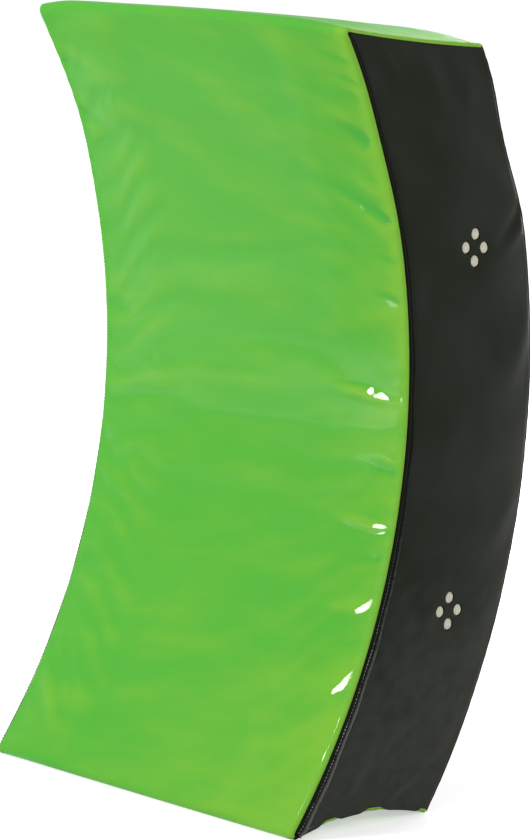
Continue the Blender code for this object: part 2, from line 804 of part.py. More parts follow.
def build():
    for old in list(bpy.data.objects):
        bpy.data.objects.remove(old)

    front_wrap()
    back_panel()
    vents = vent_punches()
    gusset("gusset_left", 0, vents)
    gusset("gusset_right", LAST_ACROSS, vents)
    welt("welt_left", -1)
    welt("welt_right", 1)

    foam_layer("strike_foam", 0, STRIKE_COLUMN, "strike foam")
    core = foam_layer("core_foam", STRIKE_COLUMN, BACKING_COLUMN, "cream foam")
    combine(core, vent_domes(), "UNION")
    backing = foam_layer("backing_foam", BACKING_COLUMN, LAST_COLUMN, "grey foam")
    combine(backing, zip_channel(), "DIFFERENCE")

    for name, side in (("upper", -1), ("lower", 1)):
        zip_tape(f"zip_tape_{name}", side)
        zip_chain(f"zip_chain_{name}", side)
    for name, side in (("left", -1), ("right", 1)):
        zip_stop(f"zip_stop_{name}", side)
    ring_and_puller(zip_slider())

    for name, side in (("left", -1), ("right", 1)):
        for level in ("lower", "upper"):
            patch(f"grip_patch_{name}_{level}", f"{level} ends", side)
        webbing(f"grip_webbing_{name}", side)
        sleeve(f"grip_sleeve_{name}", side)


build()
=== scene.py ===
"""Looks of a curved tackle wedge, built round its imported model: a glossy green strike cover, black
sides with foam vents, and a black back with two grips and a zip. Metres, +Z up."""

import math

import bmesh
import bpy
import numpy as np
from bpy.props import FloatProperty, FloatVectorProperty, PointerProperty
from mathutils import Matrix, Vector
from mathutils.geometry import delaunay_2d_cdt


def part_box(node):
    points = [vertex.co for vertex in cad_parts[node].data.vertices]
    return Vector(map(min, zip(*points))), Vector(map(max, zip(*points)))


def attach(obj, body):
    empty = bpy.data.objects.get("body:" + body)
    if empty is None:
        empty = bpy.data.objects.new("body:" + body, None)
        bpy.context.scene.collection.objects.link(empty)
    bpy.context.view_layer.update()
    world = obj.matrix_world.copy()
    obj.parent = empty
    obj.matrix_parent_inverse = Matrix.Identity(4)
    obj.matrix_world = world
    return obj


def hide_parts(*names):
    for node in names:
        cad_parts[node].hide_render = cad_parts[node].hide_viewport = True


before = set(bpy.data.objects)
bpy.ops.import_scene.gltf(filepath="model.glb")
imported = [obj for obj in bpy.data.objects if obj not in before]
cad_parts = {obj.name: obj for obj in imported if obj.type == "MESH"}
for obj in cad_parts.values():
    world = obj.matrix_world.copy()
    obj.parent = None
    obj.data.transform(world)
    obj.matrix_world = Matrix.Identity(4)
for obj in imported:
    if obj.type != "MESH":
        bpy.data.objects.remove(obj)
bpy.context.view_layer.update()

bl_info = {
    "name": "Tackle Wedge Looks",
    "version": (1, 0, 0),
    "blender": (4, 5, 0),
    "location": "View3D > Sidebar > Wedge",
    "description": "Builds the sewn cover, foam, grips, zip and stage of a tackle wedge",
    "category": "Object",
}


# Sizes and colours


def length(name, description, default):
    return FloatProperty(
        name=name, description=description, default=default, min=0, precision=5, unit="LENGTH"
    )


def colour(name, description, default):
    return FloatVectorProperty(
        name=name, description=description, default=default, size=3, min=0, max=1, subtype="COLOR"
    )


def extent(node, axis):
    low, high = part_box(node)
    return high[axis] - low[axis]


class WedgeSizes(bpy.types.PropertyGroup):
    height: length("Height", "Floor to the top seams", extent("back_panel", 2))
    width: length("Width", "Side seam to side seam", extent("back_panel", 0))
    depth: length("End depth", "Front lip to back edge, at each end", 0.187)
    front_rise: length("Front rise", "How deep the strike face is hollowed", 0.117)
    back_rise: length("Back rise", "How far the back bows out", 0.104)
    back_neck: length("Back neck", "How far the back is drawn in below the upper end", 0.008)
    neck_height: length("Neck height", "From there to the upper end", 0.170)
    lip: length("Lip radius", "Rounding of the ends' edges, seen from the side", 0.005)
    roll: length("Edge roll", "Rounding where the cover turns over to the sides", 0.0035)
    foot_arch: length("Foot arch", "How far the side seams draw up the foot", 0.0120)
    foot_hang: length("Foot hang", "How far a side hangs over the foot's edge in places", 0.0038)
    top_fall: length("Top fall", "How far the side seams draw down the upper end's back", 0.007)
    lip_swell: length("Lip swell", "Swell of the upper end's front edge", 0.007)
    lip_corner: length("Lip corner", "Extra swell of the lip near the left seam", 0.0034)
    waist: length("Waist", "How far the strike face's seams draw in below the upper end", 0.0026)
    draw_reach: length("Draw reach", "How far from the seams that is felt", 0.060)
    vinyl: length("Vinyl", "Thickness of the cover", 0.0012)
    gap: length("Gap", "Between pieces that touch", 0.0003)
    face_crown: length("Face crown", "Swell of the strike face", 0.004)
    top_crown: length("Top crown", "Swell of the upper end", 0.009)
    side_crown: length("Side crown", "Swell of each side", 0.006)
    welt_width: length("Welt width", "Rolled bead along the strike face's seams", 0.009)
    welt_height: length("Welt height", "How far the bead stands out", 0.0045)
    welt_groove: length("Welt groove", "Between the bead and the side's swell", 0.003)
    vent_radius: length("Vent radius", "Punched hole in a side", 0.0057)
    vent_spread: length("Vent spread", "Across four holes", 0.0240)
    vent_spacing: length("Vent spacing", "Upper holes to lower holes", 0.327)
    vent_setback: length("Vent setback", "Behind the strike face", 0.096)
    vent_clearance: length("Vent clearance", "Round the foam in a hole", 0.0005)
    vent_swell: length("Vent swell", "How far foam stands out of a hole", 0.0013)
    foam_inset: length("Foam inset", "From the cover's skin to the foam under its creases", 0.0042)
    strike_foam: length("Strike foam", "Softer foam behind the strike face", 0.050)
    backing_foam: length("Backing foam", "Firmer foam at the back", 0.022)
    stitch: length("Stitch", "Length of one stitch", 0.0032)
    thread: length("Thread", "Radius of the thread", 0.00032)
    zip_rise: length("Zip rise", "Lower edge to the zip, along the back", 0.070)
    zip_window: length("Zip window", "Opening in the back, across the zip", 0.017)
    zip_flat: length("Zip flat", "Flat part of the back under the zip", 0.041)
    zip_half: length("Zip half", "Middle of the zip to the window's end", 0.173)
    grip_offset: length("Grip offset", "From the middle of the back", 0.090)
    grip_span: length("Grip span", "Between the sewn ends of one grip", 0.300)
    grip_straight: length("Grip straight", "Straight part of the webbing", 0.130)
    hand_space: length("Hand space", "Between the back and a sleeve", 0.036)
    webbing_width: length("Webbing width", "Width of the grip webbing", 0.038)
    webbing: length("Webbing", "Thickness of the grip webbing", 0.0022)
    sewn: length("Sewn end", "Length of webbing sewn to the back", 0.046)
    patch_width: length("Patch width", "Vinyl under a sewn end", 0.056)
    patch_length: length("Patch length", "Vinyl under a sewn end", 0.062)
    patch: length("Patch", "Thickness of the patch", 0.0012)
    patch_corner: length("Patch corner", "Rounding of the patch", 0.008)
    sleeve_length: length("Sleeve length", "Padded part of a grip", 0.122)
    sleeve_width: length("Sleeve width", "Across a sleeve", 0.048)
    sleeve_thickness: length("Sleeve thickness", "Through a sleeve", 0.015)
    hem: length("Window hem", "Folded edge round the zip's window", 0.0070)


class WedgeColours(bpy.types.PropertyGroup):
    strike: colour("Strike vinyl", "Green of the strike face", (0.058, 0.440, 0.010))
    # Painted light: the yellower green where more light falls on the face
    strike_painted_light: colour("Warm strike vinyl", "Yellower green near the seams", (0.178, 0.505, 0.008))
    # Painted shade: the darker, bluer green of the face's dips
    strike_painted_shade: colour("Cool strike vinyl", "Bluer green in the dips", (0.036, 0.412, 0.015))
    cover: colour("Cover vinyl", "Black of the sides and back", (0.0088, 0.0120, 0.0052))
    # Paler black: real wear, and also the painted light low on the sides and the painted sheen of
    # the welts' crests
    rubbed: colour("Rubbed vinyl", "Black vinyl where it is rubbed", (0.044, 0.047, 0.040))
    foam: colour("Vent foam", "Cream foam in the vents", (0.88, 0.84, 0.69))
    soft_foam: colour("Strike foam", "Softer foam behind the face", (0.66, 0.64, 0.56))
    firm_foam: colour("Backing foam", "Firmer foam at the back", (0.28, 0.29, 0.30))
    thread: colour("Thread", "Black bonded thread", (0.016, 0.016, 0.015))
    webbing: colour("Webbing", "Black grip webbing", (0.014, 0.014, 0.015))
    nylon: colour("Zip nylon", "Moulded zip teeth", (0.018, 0.018, 0.019))
    metal: colour("Zip metal", "Blackened zip slider", (0.11, 0.11, 0.115))
    floor: colour("Floor", "Pale studio floor", (0.86, 0.86, 0.86))


# Shaders


class Socket:
    """A node's output. Arithmetic on it adds Math nodes."""

    def __init__(self, finish, socket):
        self.finish = finish
        self.socket = socket

    def maths(self, operation, *values):
        made = self.finish.node("Math", {"operation": operation}, dict(enumerate(values)))
        return made["Value"]

    def __add__(self, other):
        return self.maths("ADD", self, other)

    def __sub__(self, other):
        return self.maths("SUBTRACT", self, other)

    def __rsub__(self, other):
        return self.maths("SUBTRACT", other, self)

    def __mul__(self, other):
        return self.maths("MULTIPLY", self, other)

    def sine(self):
        return self.maths("SINE", self)

    def most(self, other):
        return self.maths("MAXIMUM", self, other)

    def between(self, low, high):
        """0 at low, 1 at high, smooth between and held outside."""
        settings = {"interpolation_type": "SMOOTHSTEP"}
        return self.finish.node("MapRange", settings, {0: self, 1: low, 2: high})["Result"]


class Outputs:
    """A made node's outputs, by name."""

    def __init__(self, finish, node):
        self.finish = finish
        self.node = node

    def __getitem__(self, name):
        return Socket(self.finish, self.node.outputs[name])


class Nodes:
    """A tree of shader nodes. Every node that isn't arithmetic comes from node()."""

    def __init__(self, tree, surface):
        self.tree = tree
        self.surface = tree.nodes[surface]

    def put(self, target, value):
        """Links an input to a made node's output, or sets the input's own value."""
        if isinstance(value, Socket):
            self.tree.links.new(value.socket, target)
        elif hasattr(value, "__len__") and len(value) == 3 and target.type == "RGBA":
            target.default_value = (*value, 1)
        else:
            target.default_value = value

    def feed(self, socket, value):
        self.put(self.surface.inputs[socket], value)

    def node(self, kind, settings=None, inputs=None):
        made = self.tree.nodes.new("ShaderNode" + kind)
        for key, value in (settings or {}).items():
            setattr(made, key, value)
        for key, value in (inputs or {}).items():
            self.put(made.inputs[key], value)
        return Outputs(self, made)

    def mix(self, share, first, second):
        """A colour between two, by a share."""
        return self.node("Mix", {"data_type": "RGBA"}, {0: share, 6: first, 7: second})[2]

    def seen(self):
        """1 for the camera's rays and for those that gloss and glass send on, 0 for light."""
        path = self.node("LightPath")
        return path["Is Camera Ray"].most(path["Is Glossy Ray"]).most(path["Is Transmission Ray"])


class Finish(Nodes):
    """A material with a Principled surface."""

    def __init__(self, name, **constants):
        self.material = bpy.data.materials.new(name)
        self.material.use_nodes = True
        super().__init__(self.material.node_tree, "Principled BSDF")
        for socket, value in constants.items():
            self.feed(socket.replace("_", " ").title().replace("Ior", "IOR"), value)

    def attribute(self, name, output):
        settings = {"attribute_type": "GEOMETRY", "attribute_name": name}
        return self.node("Attribute", settings)[output]

    def place(self):
        return self.node("TexCoord")["Object"]

    def noise(self, where, scale, detail=2.0, roughness=0.5):
        inputs = {"Vector": where, "Scale": scale, "Detail": detail, "Roughness": roughness}
        return self.node("TexNoise", None, inputs)["Fac"]

    def cells(self, where, scale):
        return self.node("TexVoronoi", None, {"Vector": where, "Scale": scale})["Distance"]

    def parts(self, vector):
        split = self.node("SeparateXYZ", None, {0: vector})
        return split["X"], split["Y"], split["Z"]

    def relief(self, height, depth):
        """Fine relief, depth metres from lowest to highest."""
        inputs = {"Height": height, "Distance": depth, "Strength": 1.0}
        self.feed("Normal", self.node("Bump", None, inputs)["Normal"])
        return self


def waves(where, pitch):
    """A sine wave along a coordinate in metres, pitch metres from crest to crest."""
    return (where * (2 * math.pi / pitch)).sine()


def weave(u, v, pitch):
    """A plain weave's height, from two coordinates in metres."""
    return waves(u, pitch=pitch) * waves(v, pitch=pitch) * 0.5 + 0.5


def shade(factor, tone):
    """A colour made darker."""
    return tuple(factor * part for part in tone)


SCRIM_GREEN = (0.30, 0.72, 0.06)
# A painted highlight along the seams' very edge
SEAM_HIGHLIGHT_GREEN = (0.34, 0.66, 0.04)
WORN_THREAD = (0.024, 0.024, 0.022)
# Painted highlight on thread near the floor
THREAD_GLINT = (0.42, 0.44, 0.42)
WEBBING_FUZZ = (0.042, 0.042, 0.044)
TAPE_KNIT = (0.035, 0.035, 0.037)
WORN_NYLON = (0.045, 0.045, 0.046)
BRIGHT_METAL = (0.34, 0.34, 0.33)
WHITE = (1, 1, 1)


def strike_vinyl(colours):
    """Glossy green vinyl over a woven scrim, with light and shade painted into its colour: yellower
    green as painted light, most by the seams, bluer green as painted shade in the dips, a painted
    highlight along the seams' edge and a painted reflection where the coat is dulled.
    """
    made = Finish("strike_vinyl", coat_roughness=0.04, specular_ior_level=0.02)
    cut = made.attribute("cut", "Vector")
    across, along, _ = made.parts(cut)
    flow = made.attribute("flow", "Vector")
    painted_light, dip, rim, gloss = (
        made.attribute(name, "Fac") for name in ("painted_light", "dip", "rim", "gloss")
    )
    # Painted light: a share towards the yellower green where more light falls, with some random
    # variation
    light_share = (painted_light + (made.noise(flow, scale=30.0, detail=3.0) - 0.5) * 1.3).between(0.05, 1.25)
    tone = made.mix(light_share, colours.strike, colours.strike_painted_light)
    # Painted shade: a share towards the bluer green in the dips, with some random variation
    shade_share = (dip + (made.noise(flow, scale=22.0) - 0.5) * 1.4).between(0.1, 1.2)
    tone = made.mix(shade_share, tone, colours.strike_painted_shade)
    tone = made.mix(weave(across, along, pitch=0.0017) * 0.08, tone, SCRIM_GREEN)
    # Painted highlight: a paler green along the seams' edge
    tone = made.mix(rim * 0.55, tone, SEAM_HIGHLIGHT_GREEN)
    # Painted reflection: white mixed into the colour where the coat is dulled, for the reflection
    # the coat no longer gives
    made.feed("Base Color", made.mix((1 - gloss) * 0.045, tone, WHITE))
    made.feed("Roughness", made.noise(cut, scale=160.0) * 0.10 + 0.38)
    made.feed("Coat Weight", gloss * 0.85)
    scrim = weave(across, along, pitch=0.0011) * 0.6 + made.noise(cut, scale=900.0) * 0.4
    return made.relief(scrim, depth=0.00004)


def cover_vinyl(colours, name):
    """Black vinyl, satin, with a fine ribbed grain, dulled and paler where the wear share is high:
    real wear on the grips, painted light low down on the sides, paler towards the floor on the back.
    Darker along a side's front edge, as painted shade.
    """
    made = Finish(name, specular_ior_level=0.05)
    cut = made.attribute("cut", "Vector")
    across, along, _ = made.parts(cut)
    rub, hem = made.attribute("rub", "Fac"), made.attribute("hem", "Fac")
    # This share is real wear on the grips, and painted light low down on the sides
    worn = (rub + (made.noise(cut, scale=60.0, detail=3.0) - 0.5)).between(0.25, 1.1)
    cloud = made.noise(cut, scale=12.0).between(0.2, 0.8)
    base = made.mix(cloud * 0.35, colours.cover, colours.rubbed)
    base = made.mix(worn * 0.8 + weave(across, along, pitch=0.0016) * 0.22, base, colours.rubbed)
    # Painted shade: darker along the side's front edge, next to the welt
    made.feed("Base Color", made.mix(hem * 0.85, base, shade(0.3, colours.cover)))
    made.feed("Roughness", made.noise(cut, scale=90.0) * 0.12 + worn * 0.10 + 0.34)
    ribs = weave(across, along * 0.35, pitch=0.0012) * 0.6 + made.noise(cut, scale=1100.0) * 0.4
    return made.relief(ribs, depth=0.00005)


def bead_vinyl(colours, name):
    """Black vinyl of a welt, darker than the sides as painted shade in the seam; glossier and paler
    on its crest where the share is high, low down, the paleness a painted sheen.
    """
    made = Finish(name, coat_roughness=0.12, specular_ior_level=0.05)
    cut = made.attribute("cut", "Vector")
    across, along, _ = made.parts(cut)
    rub = made.attribute("rub", "Fac")
    # Painted sheen and real polish: paler colour and more coat on the lower crest
    sheen_and_polish = (rub + (made.noise(cut, scale=240.0, detail=3.0) - 0.5) * 0.8).between(0.15, 1.1)
    # Painted shade: the welt's vinyl darker than the sides'
    made.feed("Base Color", made.mix(sheen_and_polish * 0.45, shade(0.4, colours.cover), colours.rubbed))
    made.feed("Roughness", made.noise(cut, scale=90.0) * 0.12 + 0.36)
    made.feed("Coat Weight", sheen_and_polish * 0.9)
    ribs = weave(across, along * 0.5, pitch=0.0014) * 0.7 + made.noise(cut, scale=900.0) * 0.3
    return made.relief(ribs, depth=0.00012)


def foam_finish(name, tone):
    """Open foam, its cells and a little yellowing."""
    made = Finish(name, roughness=0.95, specular_ior_level=0.1)
    where = made.place()
    cloud = made.noise(where, scale=120.0, detail=3.0)
    made.feed("Base Color", made.mix(cloud, tone, shade(0.82, tone)))
    return made.relief(made.cells(where, scale=1800.0), depth=0.0003)


def thread_finish(colours, name, glint=0.0):
    """Bonded thread; with a glint share, paler in patches near the floor, as painted highlights."""
    made = Finish(name, roughness=0.45, specular_ior_level=0.15)
    where = made.place()
    tone = made.mix(made.noise(where, scale=800.0), colours.thread, WORN_THREAD)
    if glint:
        # Painted highlight: pale patches near the floor for the thread's glints
        low = made.parts(where)[2].between(0.30, 0.08) * glint
        patches = made.noise(where, scale=90.0, detail=3.0).between(0.3, 0.7)
        tone = made.mix(low * patches, tone, THREAD_GLINT)
    made.feed("Base Color", tone)
    return made.relief(made.noise(where, scale=4000.0), depth=0.0001)


def webbing_finish(colours):
    """Woven tape: ribs across, and a heavier selvedge."""
    made = Finish("grip_webbing", specular_ior_level=0.2)
    cut = made.attribute("cut", "Vector")
    across, along, _ = made.parts(cut)
    rib = waves(waves(across, pitch=0.0095) * 0.0012 + along, pitch=0.0019) * 0.5 + 0.5
    yarn = waves(across, pitch=0.0016) * 0.5 + 0.5
    fuzz = made.noise(cut, scale=700.0, detail=3.0)
    lit = rib * yarn * 0.6 + fuzz * 0.4
    made.feed("Base Color", made.mix(lit, colours.webbing, WEBBING_FUZZ))
    made.feed("Roughness", 0.9 - lit * 0.2)
    return made.relief(rib * yarn + fuzz * 0.2, depth=0.0003)


def tape_finish(colours):
    made = Finish("zip_tape", roughness=0.85)
    across, along, _ = made.parts(made.place())
    knit = weave(across, along * 1.1, pitch=0.0009)
    made.feed("Base Color", made.mix(knit, colours.webbing, TAPE_KNIT))
    return made.relief(knit, depth=0.00015)


def nylon_finish(colours):
    made = Finish("zip_nylon")
    where = made.place()
    wear = made.noise(where, scale=300.0, detail=3.0).between(0.45, 0.8)
    made.feed("Base Color", made.mix(wear, colours.nylon, WORN_NYLON))
    made.feed("Roughness", wear * 0.15 + 0.36)
    return made.relief(made.noise(where, scale=2500.0), depth=0.00003)


def metal_finish(colours):
    """Blackened metal, rubbed bright in patches."""
    made = Finish("zip_metal", metallic=1.0)
    where = made.place()
    wear = made.noise(where, scale=260.0, detail=4.0, roughness=0.6).between(0.48, 0.72)
    made.feed("Base Color", made.mix(wear, colours.metal, BRIGHT_METAL))
    made.feed("Roughness", made.noise(where, scale=900.0) * 0.2 + 0.26)
    return made.relief(made.noise(where, scale=1500.0), depth=0.00003)


# Numbers over a surface


RIPPLE_WAVES = 14
TUCK_RISE = 0.045  # how far to its left a tuck starts to rise


def bulge(share):
    """1 in the middle, 0 where share is -1 or 1, and steepest at those seams."""
    return 1 - np.minimum(np.abs(share), 1) ** 3


def smooth(low, high, value):
    """0 at low, 1 at high, smooth between and held outside."""
    share = np.clip((value - low) / (high - low), 0, 1)
    return share * share * (3 - 2 * share)


def hump(value, width, middle=0.0, power=2):
    """1 at the middle, gone about twice width away from it; a higher power is squarer."""
    return np.exp(-(((value - middle) / width) ** power))


def turns_of(count):
    """Even turns round a circle, in radians."""
    return 2 * math.pi * np.arange(count) / count


def ripples(seed, u, v, size, tilt):
    """Random waves of about one size, between about -1 and 1, running within tilt of v."""
    draw = np.random.default_rng(seed)
    total = np.zeros(np.broadcast(u, v).shape)
    for _ in range(RIPPLE_WAVES):
        heading = math.pi / 2 + tilt * (draw.random() - 0.5)
        pace = 2 * math.pi / (size * (0.7 + 0.6 * draw.random()))
        start = 2 * math.pi * draw.random()
        total += np.cos(pace * (u * math.cos(heading) + v * math.sin(heading)) + start)
    return total / math.sqrt(2 * RIPPLE_WAVES)


def crease(u, v, start, end, width, height, bow=0.0, peak=0.5):
    """A fold from start to end, height metres up (or down), width metres to each side. It is
    strongest at the share peak of its length, and bows to one side."""
    (u0, v0), (u1, v1) = start, end
    reach = math.hypot(u1 - u0, v1 - v0)
    du, dv = (u1 - u0) / reach, (v1 - v0) / reach
    share = ((u - u0) * du + (v - v0) * dv) / reach
    off = (v - v0) * du - (u - u0) * dv - 4 * bow * share * (1 - share)
    fade = smooth(0, peak, share) * (1 - smooth(peak, 1, share))
    return height * fade * hump(off, width=width)


def tuck(u, v, slope, rows):
    """A puffed fold that rises gently from its left to the first edge given for each height, and
    falls evenly from there to the second."""
    heights, left, right = np.transpose(rows[::-1])
    start, end = np.interp(v, heights, left), np.interp(v, heights, right)
    width = np.maximum(end - start, 1e-6)
    fall = np.clip((end - u) / width, 0, 1)
    return slope * width * np.where(u < start, smooth(start - TUCK_RISE, start, u), fall)


# The pad's form


CORNER_ROWS = 5  # rows of points on each rounding of a side


class Side:
    """The front or the back in side view: an arc with a small rounding at each end."""

    def __init__(self, sizes, facing, foot, rise, neck=0.0):
        half = sizes.height / 2
        self.neck, self.neck_height = neck, sizes.neck_height
        self.lip, self.half, self.facing = sizes.lip, half, facing
        self.radius = (half**2 + rise**2) / (2 * rise)
        self.centre = foot + rise - self.radius
        inner = self.radius - facing * sizes.lip
        self.end = math.asin((half - sizes.lip) / inner)
        self.corner_y = self.centre + inner * math.cos(self.end)
        self.length = 2 * self.radius * self.end

    def corner(self, share):
        """Points and normals on the lower rounding, from the floor (0) to the arc (1)."""
        turn = np.asarray(share) * (math.pi / 2 - self.facing * self.end)
        normals = np.stack([self.facing * np.sin(turn), -np.cos(turn)], -1)
        return np.array((self.corner_y, self.lip)) + self.lip * normals, normals

    def arc(self, share):
        """Points and normals on the arc, from its lower end (-1) to its upper end (1)."""
        angle = np.asarray(share) * self.end
        out = np.stack([np.cos(angle), np.sin(angle)], -1)
        above = self.radius * out[..., 1:] + self.neck_height - self.half
        into_neck = np.maximum(above / self.neck_height, 0)
        radius = self.radius - self.facing * self.neck * np.sin(math.pi * into_neck) ** 2
        return np.array((self.centre, self.half)) + radius * out, self.facing * out

    def rows(self, shares, corner_steps):
        """Points and normals up the whole side: rounding, arc, rounding."""
        low, low_normals = self.corner(np.arange(corner_steps) / corner_steps)
        points, normals = self.arc(shares)
        flip = np.array((1, -1))
        high, high_normals = low[::-1] * flip + (0, 2 * self.half), low_normals[::-1] * flip
        normals = np.concatenate([low_normals, normals, high_normals])
        return np.concatenate([low, points, high]), normals

    def y_at(self, z):
        return self.centre + math.sqrt(self.radius**2 - (z - self.half) ** 2)


def sides_of(sizes):
    """The pad's front and back, seen from the side."""
    front = Side(sizes, -1, -sizes.depth / 2, sizes.front_rise)
    return front, Side(sizes, 1, sizes.depth / 2, sizes.back_rise, sizes.back_neck)


def drawn(sizes, x, share, z):
    """How far the side seams draw points up from the foot, or down from the upper end, whose front
    edge swells between them. share runs from the front (0) to the back (1)."""
    half = sizes.width / 2 - sizes.roll
    inward = np.maximum(half - np.abs(x), 0)
    reaches = (inward, z, sizes.height - z)
    edge, low, high = (1 - smooth(0, sizes.draw_reach, reach) for reach in reaches)
    up = edge * low * sizes.foot_arch * 4 * share * (1 - share)
    down = edge * high * sizes.top_fall * (1 - (1 - share) ** 2)
    return up - down + high * sizes.lip_swell * bulge(x / half) * (1 - share) ** 3


def waist(sizes, z):
    """How far the side seams of the strike face draw in below the upper end."""
    return sizes.waist * hump(z, width=0.050, middle=0.86 * sizes.height)


def runs(*stretches):
    """Stations over stretches of (start, end, step), each with even steps and its own ends."""
    marks = [np.array([stretches[0][0]])]
    for start, end, step in stretches:
        count = max(1, round(abs(end - start) / step))
        marks.append(np.linspace(start, end, count + 1)[1:])
    return np.concatenate(marks)


def across_rolled(sizes, *stretches):
    """x and turn of stations across the pad, from one side seam over the flat to the other. Each
    stretch is (start, end, step) from the middle out, and the last ends at the rolled edge."""
    half = sizes.width / 2 - sizes.roll
    right = runs(*stretches, (stretches[-1][1] if stretches else 0, half, 0.0024))
    flat = np.concatenate([-right[:0:-1], right])
    turns = np.linspace(0, math.pi / 2, 6)[1:]
    rolled = half + sizes.roll * np.sin(turns)
    x = np.concatenate([-rolled[::-1], flat, rolled])
    turn = np.concatenate([-turns[::-1], 0 * flat, turns])
    return x, turn


def distances(points):
    """How far each point of a line is along it."""
    steps = np.linalg.norm(np.diff(points, axis=0), axis=1)
    return np.concatenate([[0], np.cumsum(steps)])


def surface_normals(points):
    """Unit normals of a lattice of points, rows first."""
    down = np.gradient(points, axis=0)
    across = np.gradient(points, axis=1)
    normals = np.cross(across, down)
    return normals / np.maximum(np.linalg.norm(normals, axis=2, keepdims=True), 1e-12)


# Meshes


def lattice_faces(rows, columns, kept=None):
    """Quads of a lattice; kept is a mask of the cells that stay."""
    index = np.arange(rows * columns).reshape(rows, columns)
    quads = np.stack([index[:-1, :-1], index[:-1, 1:], index[1:, 1:], index[1:, :-1]], -1)
    return (quads[kept] if kept is not None else quads.reshape(-1, 4)).tolist()


def object_from(name, points, faces, attributes=None):
    """A smooth object, with number or vector attributes on its points."""
    mesh = bpy.data.meshes.new(name)
    mesh.from_pydata(np.asarray(points).reshape(-1, 3).tolist(), [], faces)
    for key, values in (attributes or {}).items():
        vectors = np.ndim(values) == 3
        kind, slot, size = ("FLOAT_VECTOR", "vector", 3) if vectors else ("FLOAT", "value", 1)
        made = mesh.attributes.new(key, kind, "POINT")
        made.data.foreach_set(slot, np.asarray(values, np.float32).reshape(-1, size).ravel())
    mesh.shade_smooth()
    made = bpy.data.objects.new(name, mesh)
    bpy.context.collection.objects.link(made)
    return made


def thicken(made, thickness):
    """Drops points that no face uses, and gives a sheet its thickness, inwards."""
    shape = bmesh.new()
    shape.from_mesh(made.data)
    bmesh.ops.delete(shape, geom=[v for v in shape.verts if not v.link_faces], context="VERTS")
    shape.to_mesh(made.data)
    shape.free()
    skin = made.modifiers.new("thickness", "SOLIDIFY")
    skin.thickness = thickness
    skin.offset = -1
    return made


def vinyl_sheet(name, points, thickness, attributes, kept=None):
    """A lattice of points as one sheet of vinyl, thickened inwards."""
    rows, columns = points.shape[:2]
    made = object_from(name, points, lattice_faces(rows, columns, kept), attributes)
    return thicken(made, thickness)


def lofts(name, many, closed=False, attributes=None):
    """Lofts in one object, alike in size: loops of points skinned one to the next, and capped
    unless they close on themselves."""
    many = np.asarray(many, float)
    count, size = many.shape[1:3]
    faces = []
    for start in range(0, len(many) * count * size, count * size):
        for n in range(count if closed else count - 1):
            low, high = start + n * size, start + (n + 1) % count * size
            beside = [(k, (k + 1) % size) for k in range(size)]
            faces += [(low + k, low + j, high + j, high + k) for k, j in beside]
        if not closed:
            faces.append(tuple(range(start + size - 1, start - 1, -1)))
            faces.append(tuple(range(start + (count - 1) * size, start + count * size)))
    made = object_from(name, many, faces, attributes)
    shape = bmesh.new()
    shape.from_mesh(made.data)
    bmesh.ops.recalc_face_normals(shape, faces=shape.faces)
    shape.to_mesh(made.data)
    shape.free()
    return made


def loft(name, loops, closed=False, attributes=None):
    return lofts(name, [loops], closed, attributes)


def stitches(name, line, outward, sizes):
    """Thread along a line of points: one short arched stitch after another, dipping at its ends."""
    pitch = sizes.stitch
    far = distances(line)
    count = max(1, int(far[-1] / pitch))
    starts = (np.arange(count) + 0.5 * (far[-1] / pitch - count)) * pitch
    rings, sides = 5, 6
    share = np.linspace(0, 1, rings)
    reach = starts[:, None] + pitch * (0.10 + 0.80 * share)
    middle = np.stack([np.interp(reach, far, line[:, k]) for k in range(3)], -1)
    out = np.stack([np.interp(reach, far, outward[:, k]) for k in range(3)], -1)
    out /= np.linalg.norm(out, axis=2, keepdims=True)
    ahead = np.gradient(middle, axis=1)
    ahead /= np.linalg.norm(ahead, axis=2, keepdims=True)
    aside = np.cross(ahead, out)
    thick = sizes.thread * np.sqrt(np.maximum(0.16, 1 - (2 * share - 1) ** 4))
    middle = middle + out * (sizes.thread * (0.9 - 1.7 * (2 * share - 1) ** 4))[None, :, None]
    angles = turns_of(sides)
    ring = np.cos(angles)[:, None] * aside[:, :, None] + np.sin(angles)[:, None] * out[:, :, None]
    points = middle[:, :, None] + thick[None, :, None, None] * ring
    one = []
    for n in range(rings - 1):
        for k in range(sides):
            j = (k + 1) % sides
            one.append((n * sides + k, n * sides + j, (n + 1) * sides + j, (n + 1) * sides + k))
    faces = [tuple(n * rings * sides + k for k in quad) for n in range(count) for quad in one]
    for n in range(count):
        base = n * rings * sides
        faces.append(tuple(base + k for k in reversed(range(sides))))
        faces.append(tuple(base + (rings - 1) * sides + k for k in range(sides)))
    return object_from(name, points, faces)


def dress(made, finish, slot, *nodes, body="pad"):
    """Gives a piece its finish and the body it rides on, and hides the imported parts it replaces.
    """
    made.data.materials.clear()
    made.data.materials.append(finish.material)
    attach(made, body)
    if nodes:
        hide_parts(*nodes)
    return made


def cut_of(u, v):
    """Where each point lies on its flat cut, for the finishes."""
    return np.stack([u, v, 0 * u], -1)


# Cloth


def broad(values, rows=21):
    """A lattice of values without their fine changes."""
    weights = np.hanning(rows + 2)[1:-1]
    weights /= weights.sum()
    padded = np.pad(values, rows // 2, mode="edge")
    for axis in (0, 1):
        padded = np.apply_along_axis(np.convolve, axis, padded, weights, mode="valid")
    return padded


def cubic(values, at):
    """Values of a lattice's first axis read at fractional rows, on a smooth curve through them."""
    last = len(values) - 1
    low = np.clip(np.floor(at).astype(int), 0, last - 1)
    t = (at - low)[(...,) + (None,) * (values.ndim - 1)]
    a, b, c, d = (values[np.clip(low + k, 0, last)] for k in (-1, 0, 1, 2))
    return b + 0.5 * t * (c - a + t * (2 * a - 5 * b + 4 * c - d + t * (3 * (b - c) + d - a)))


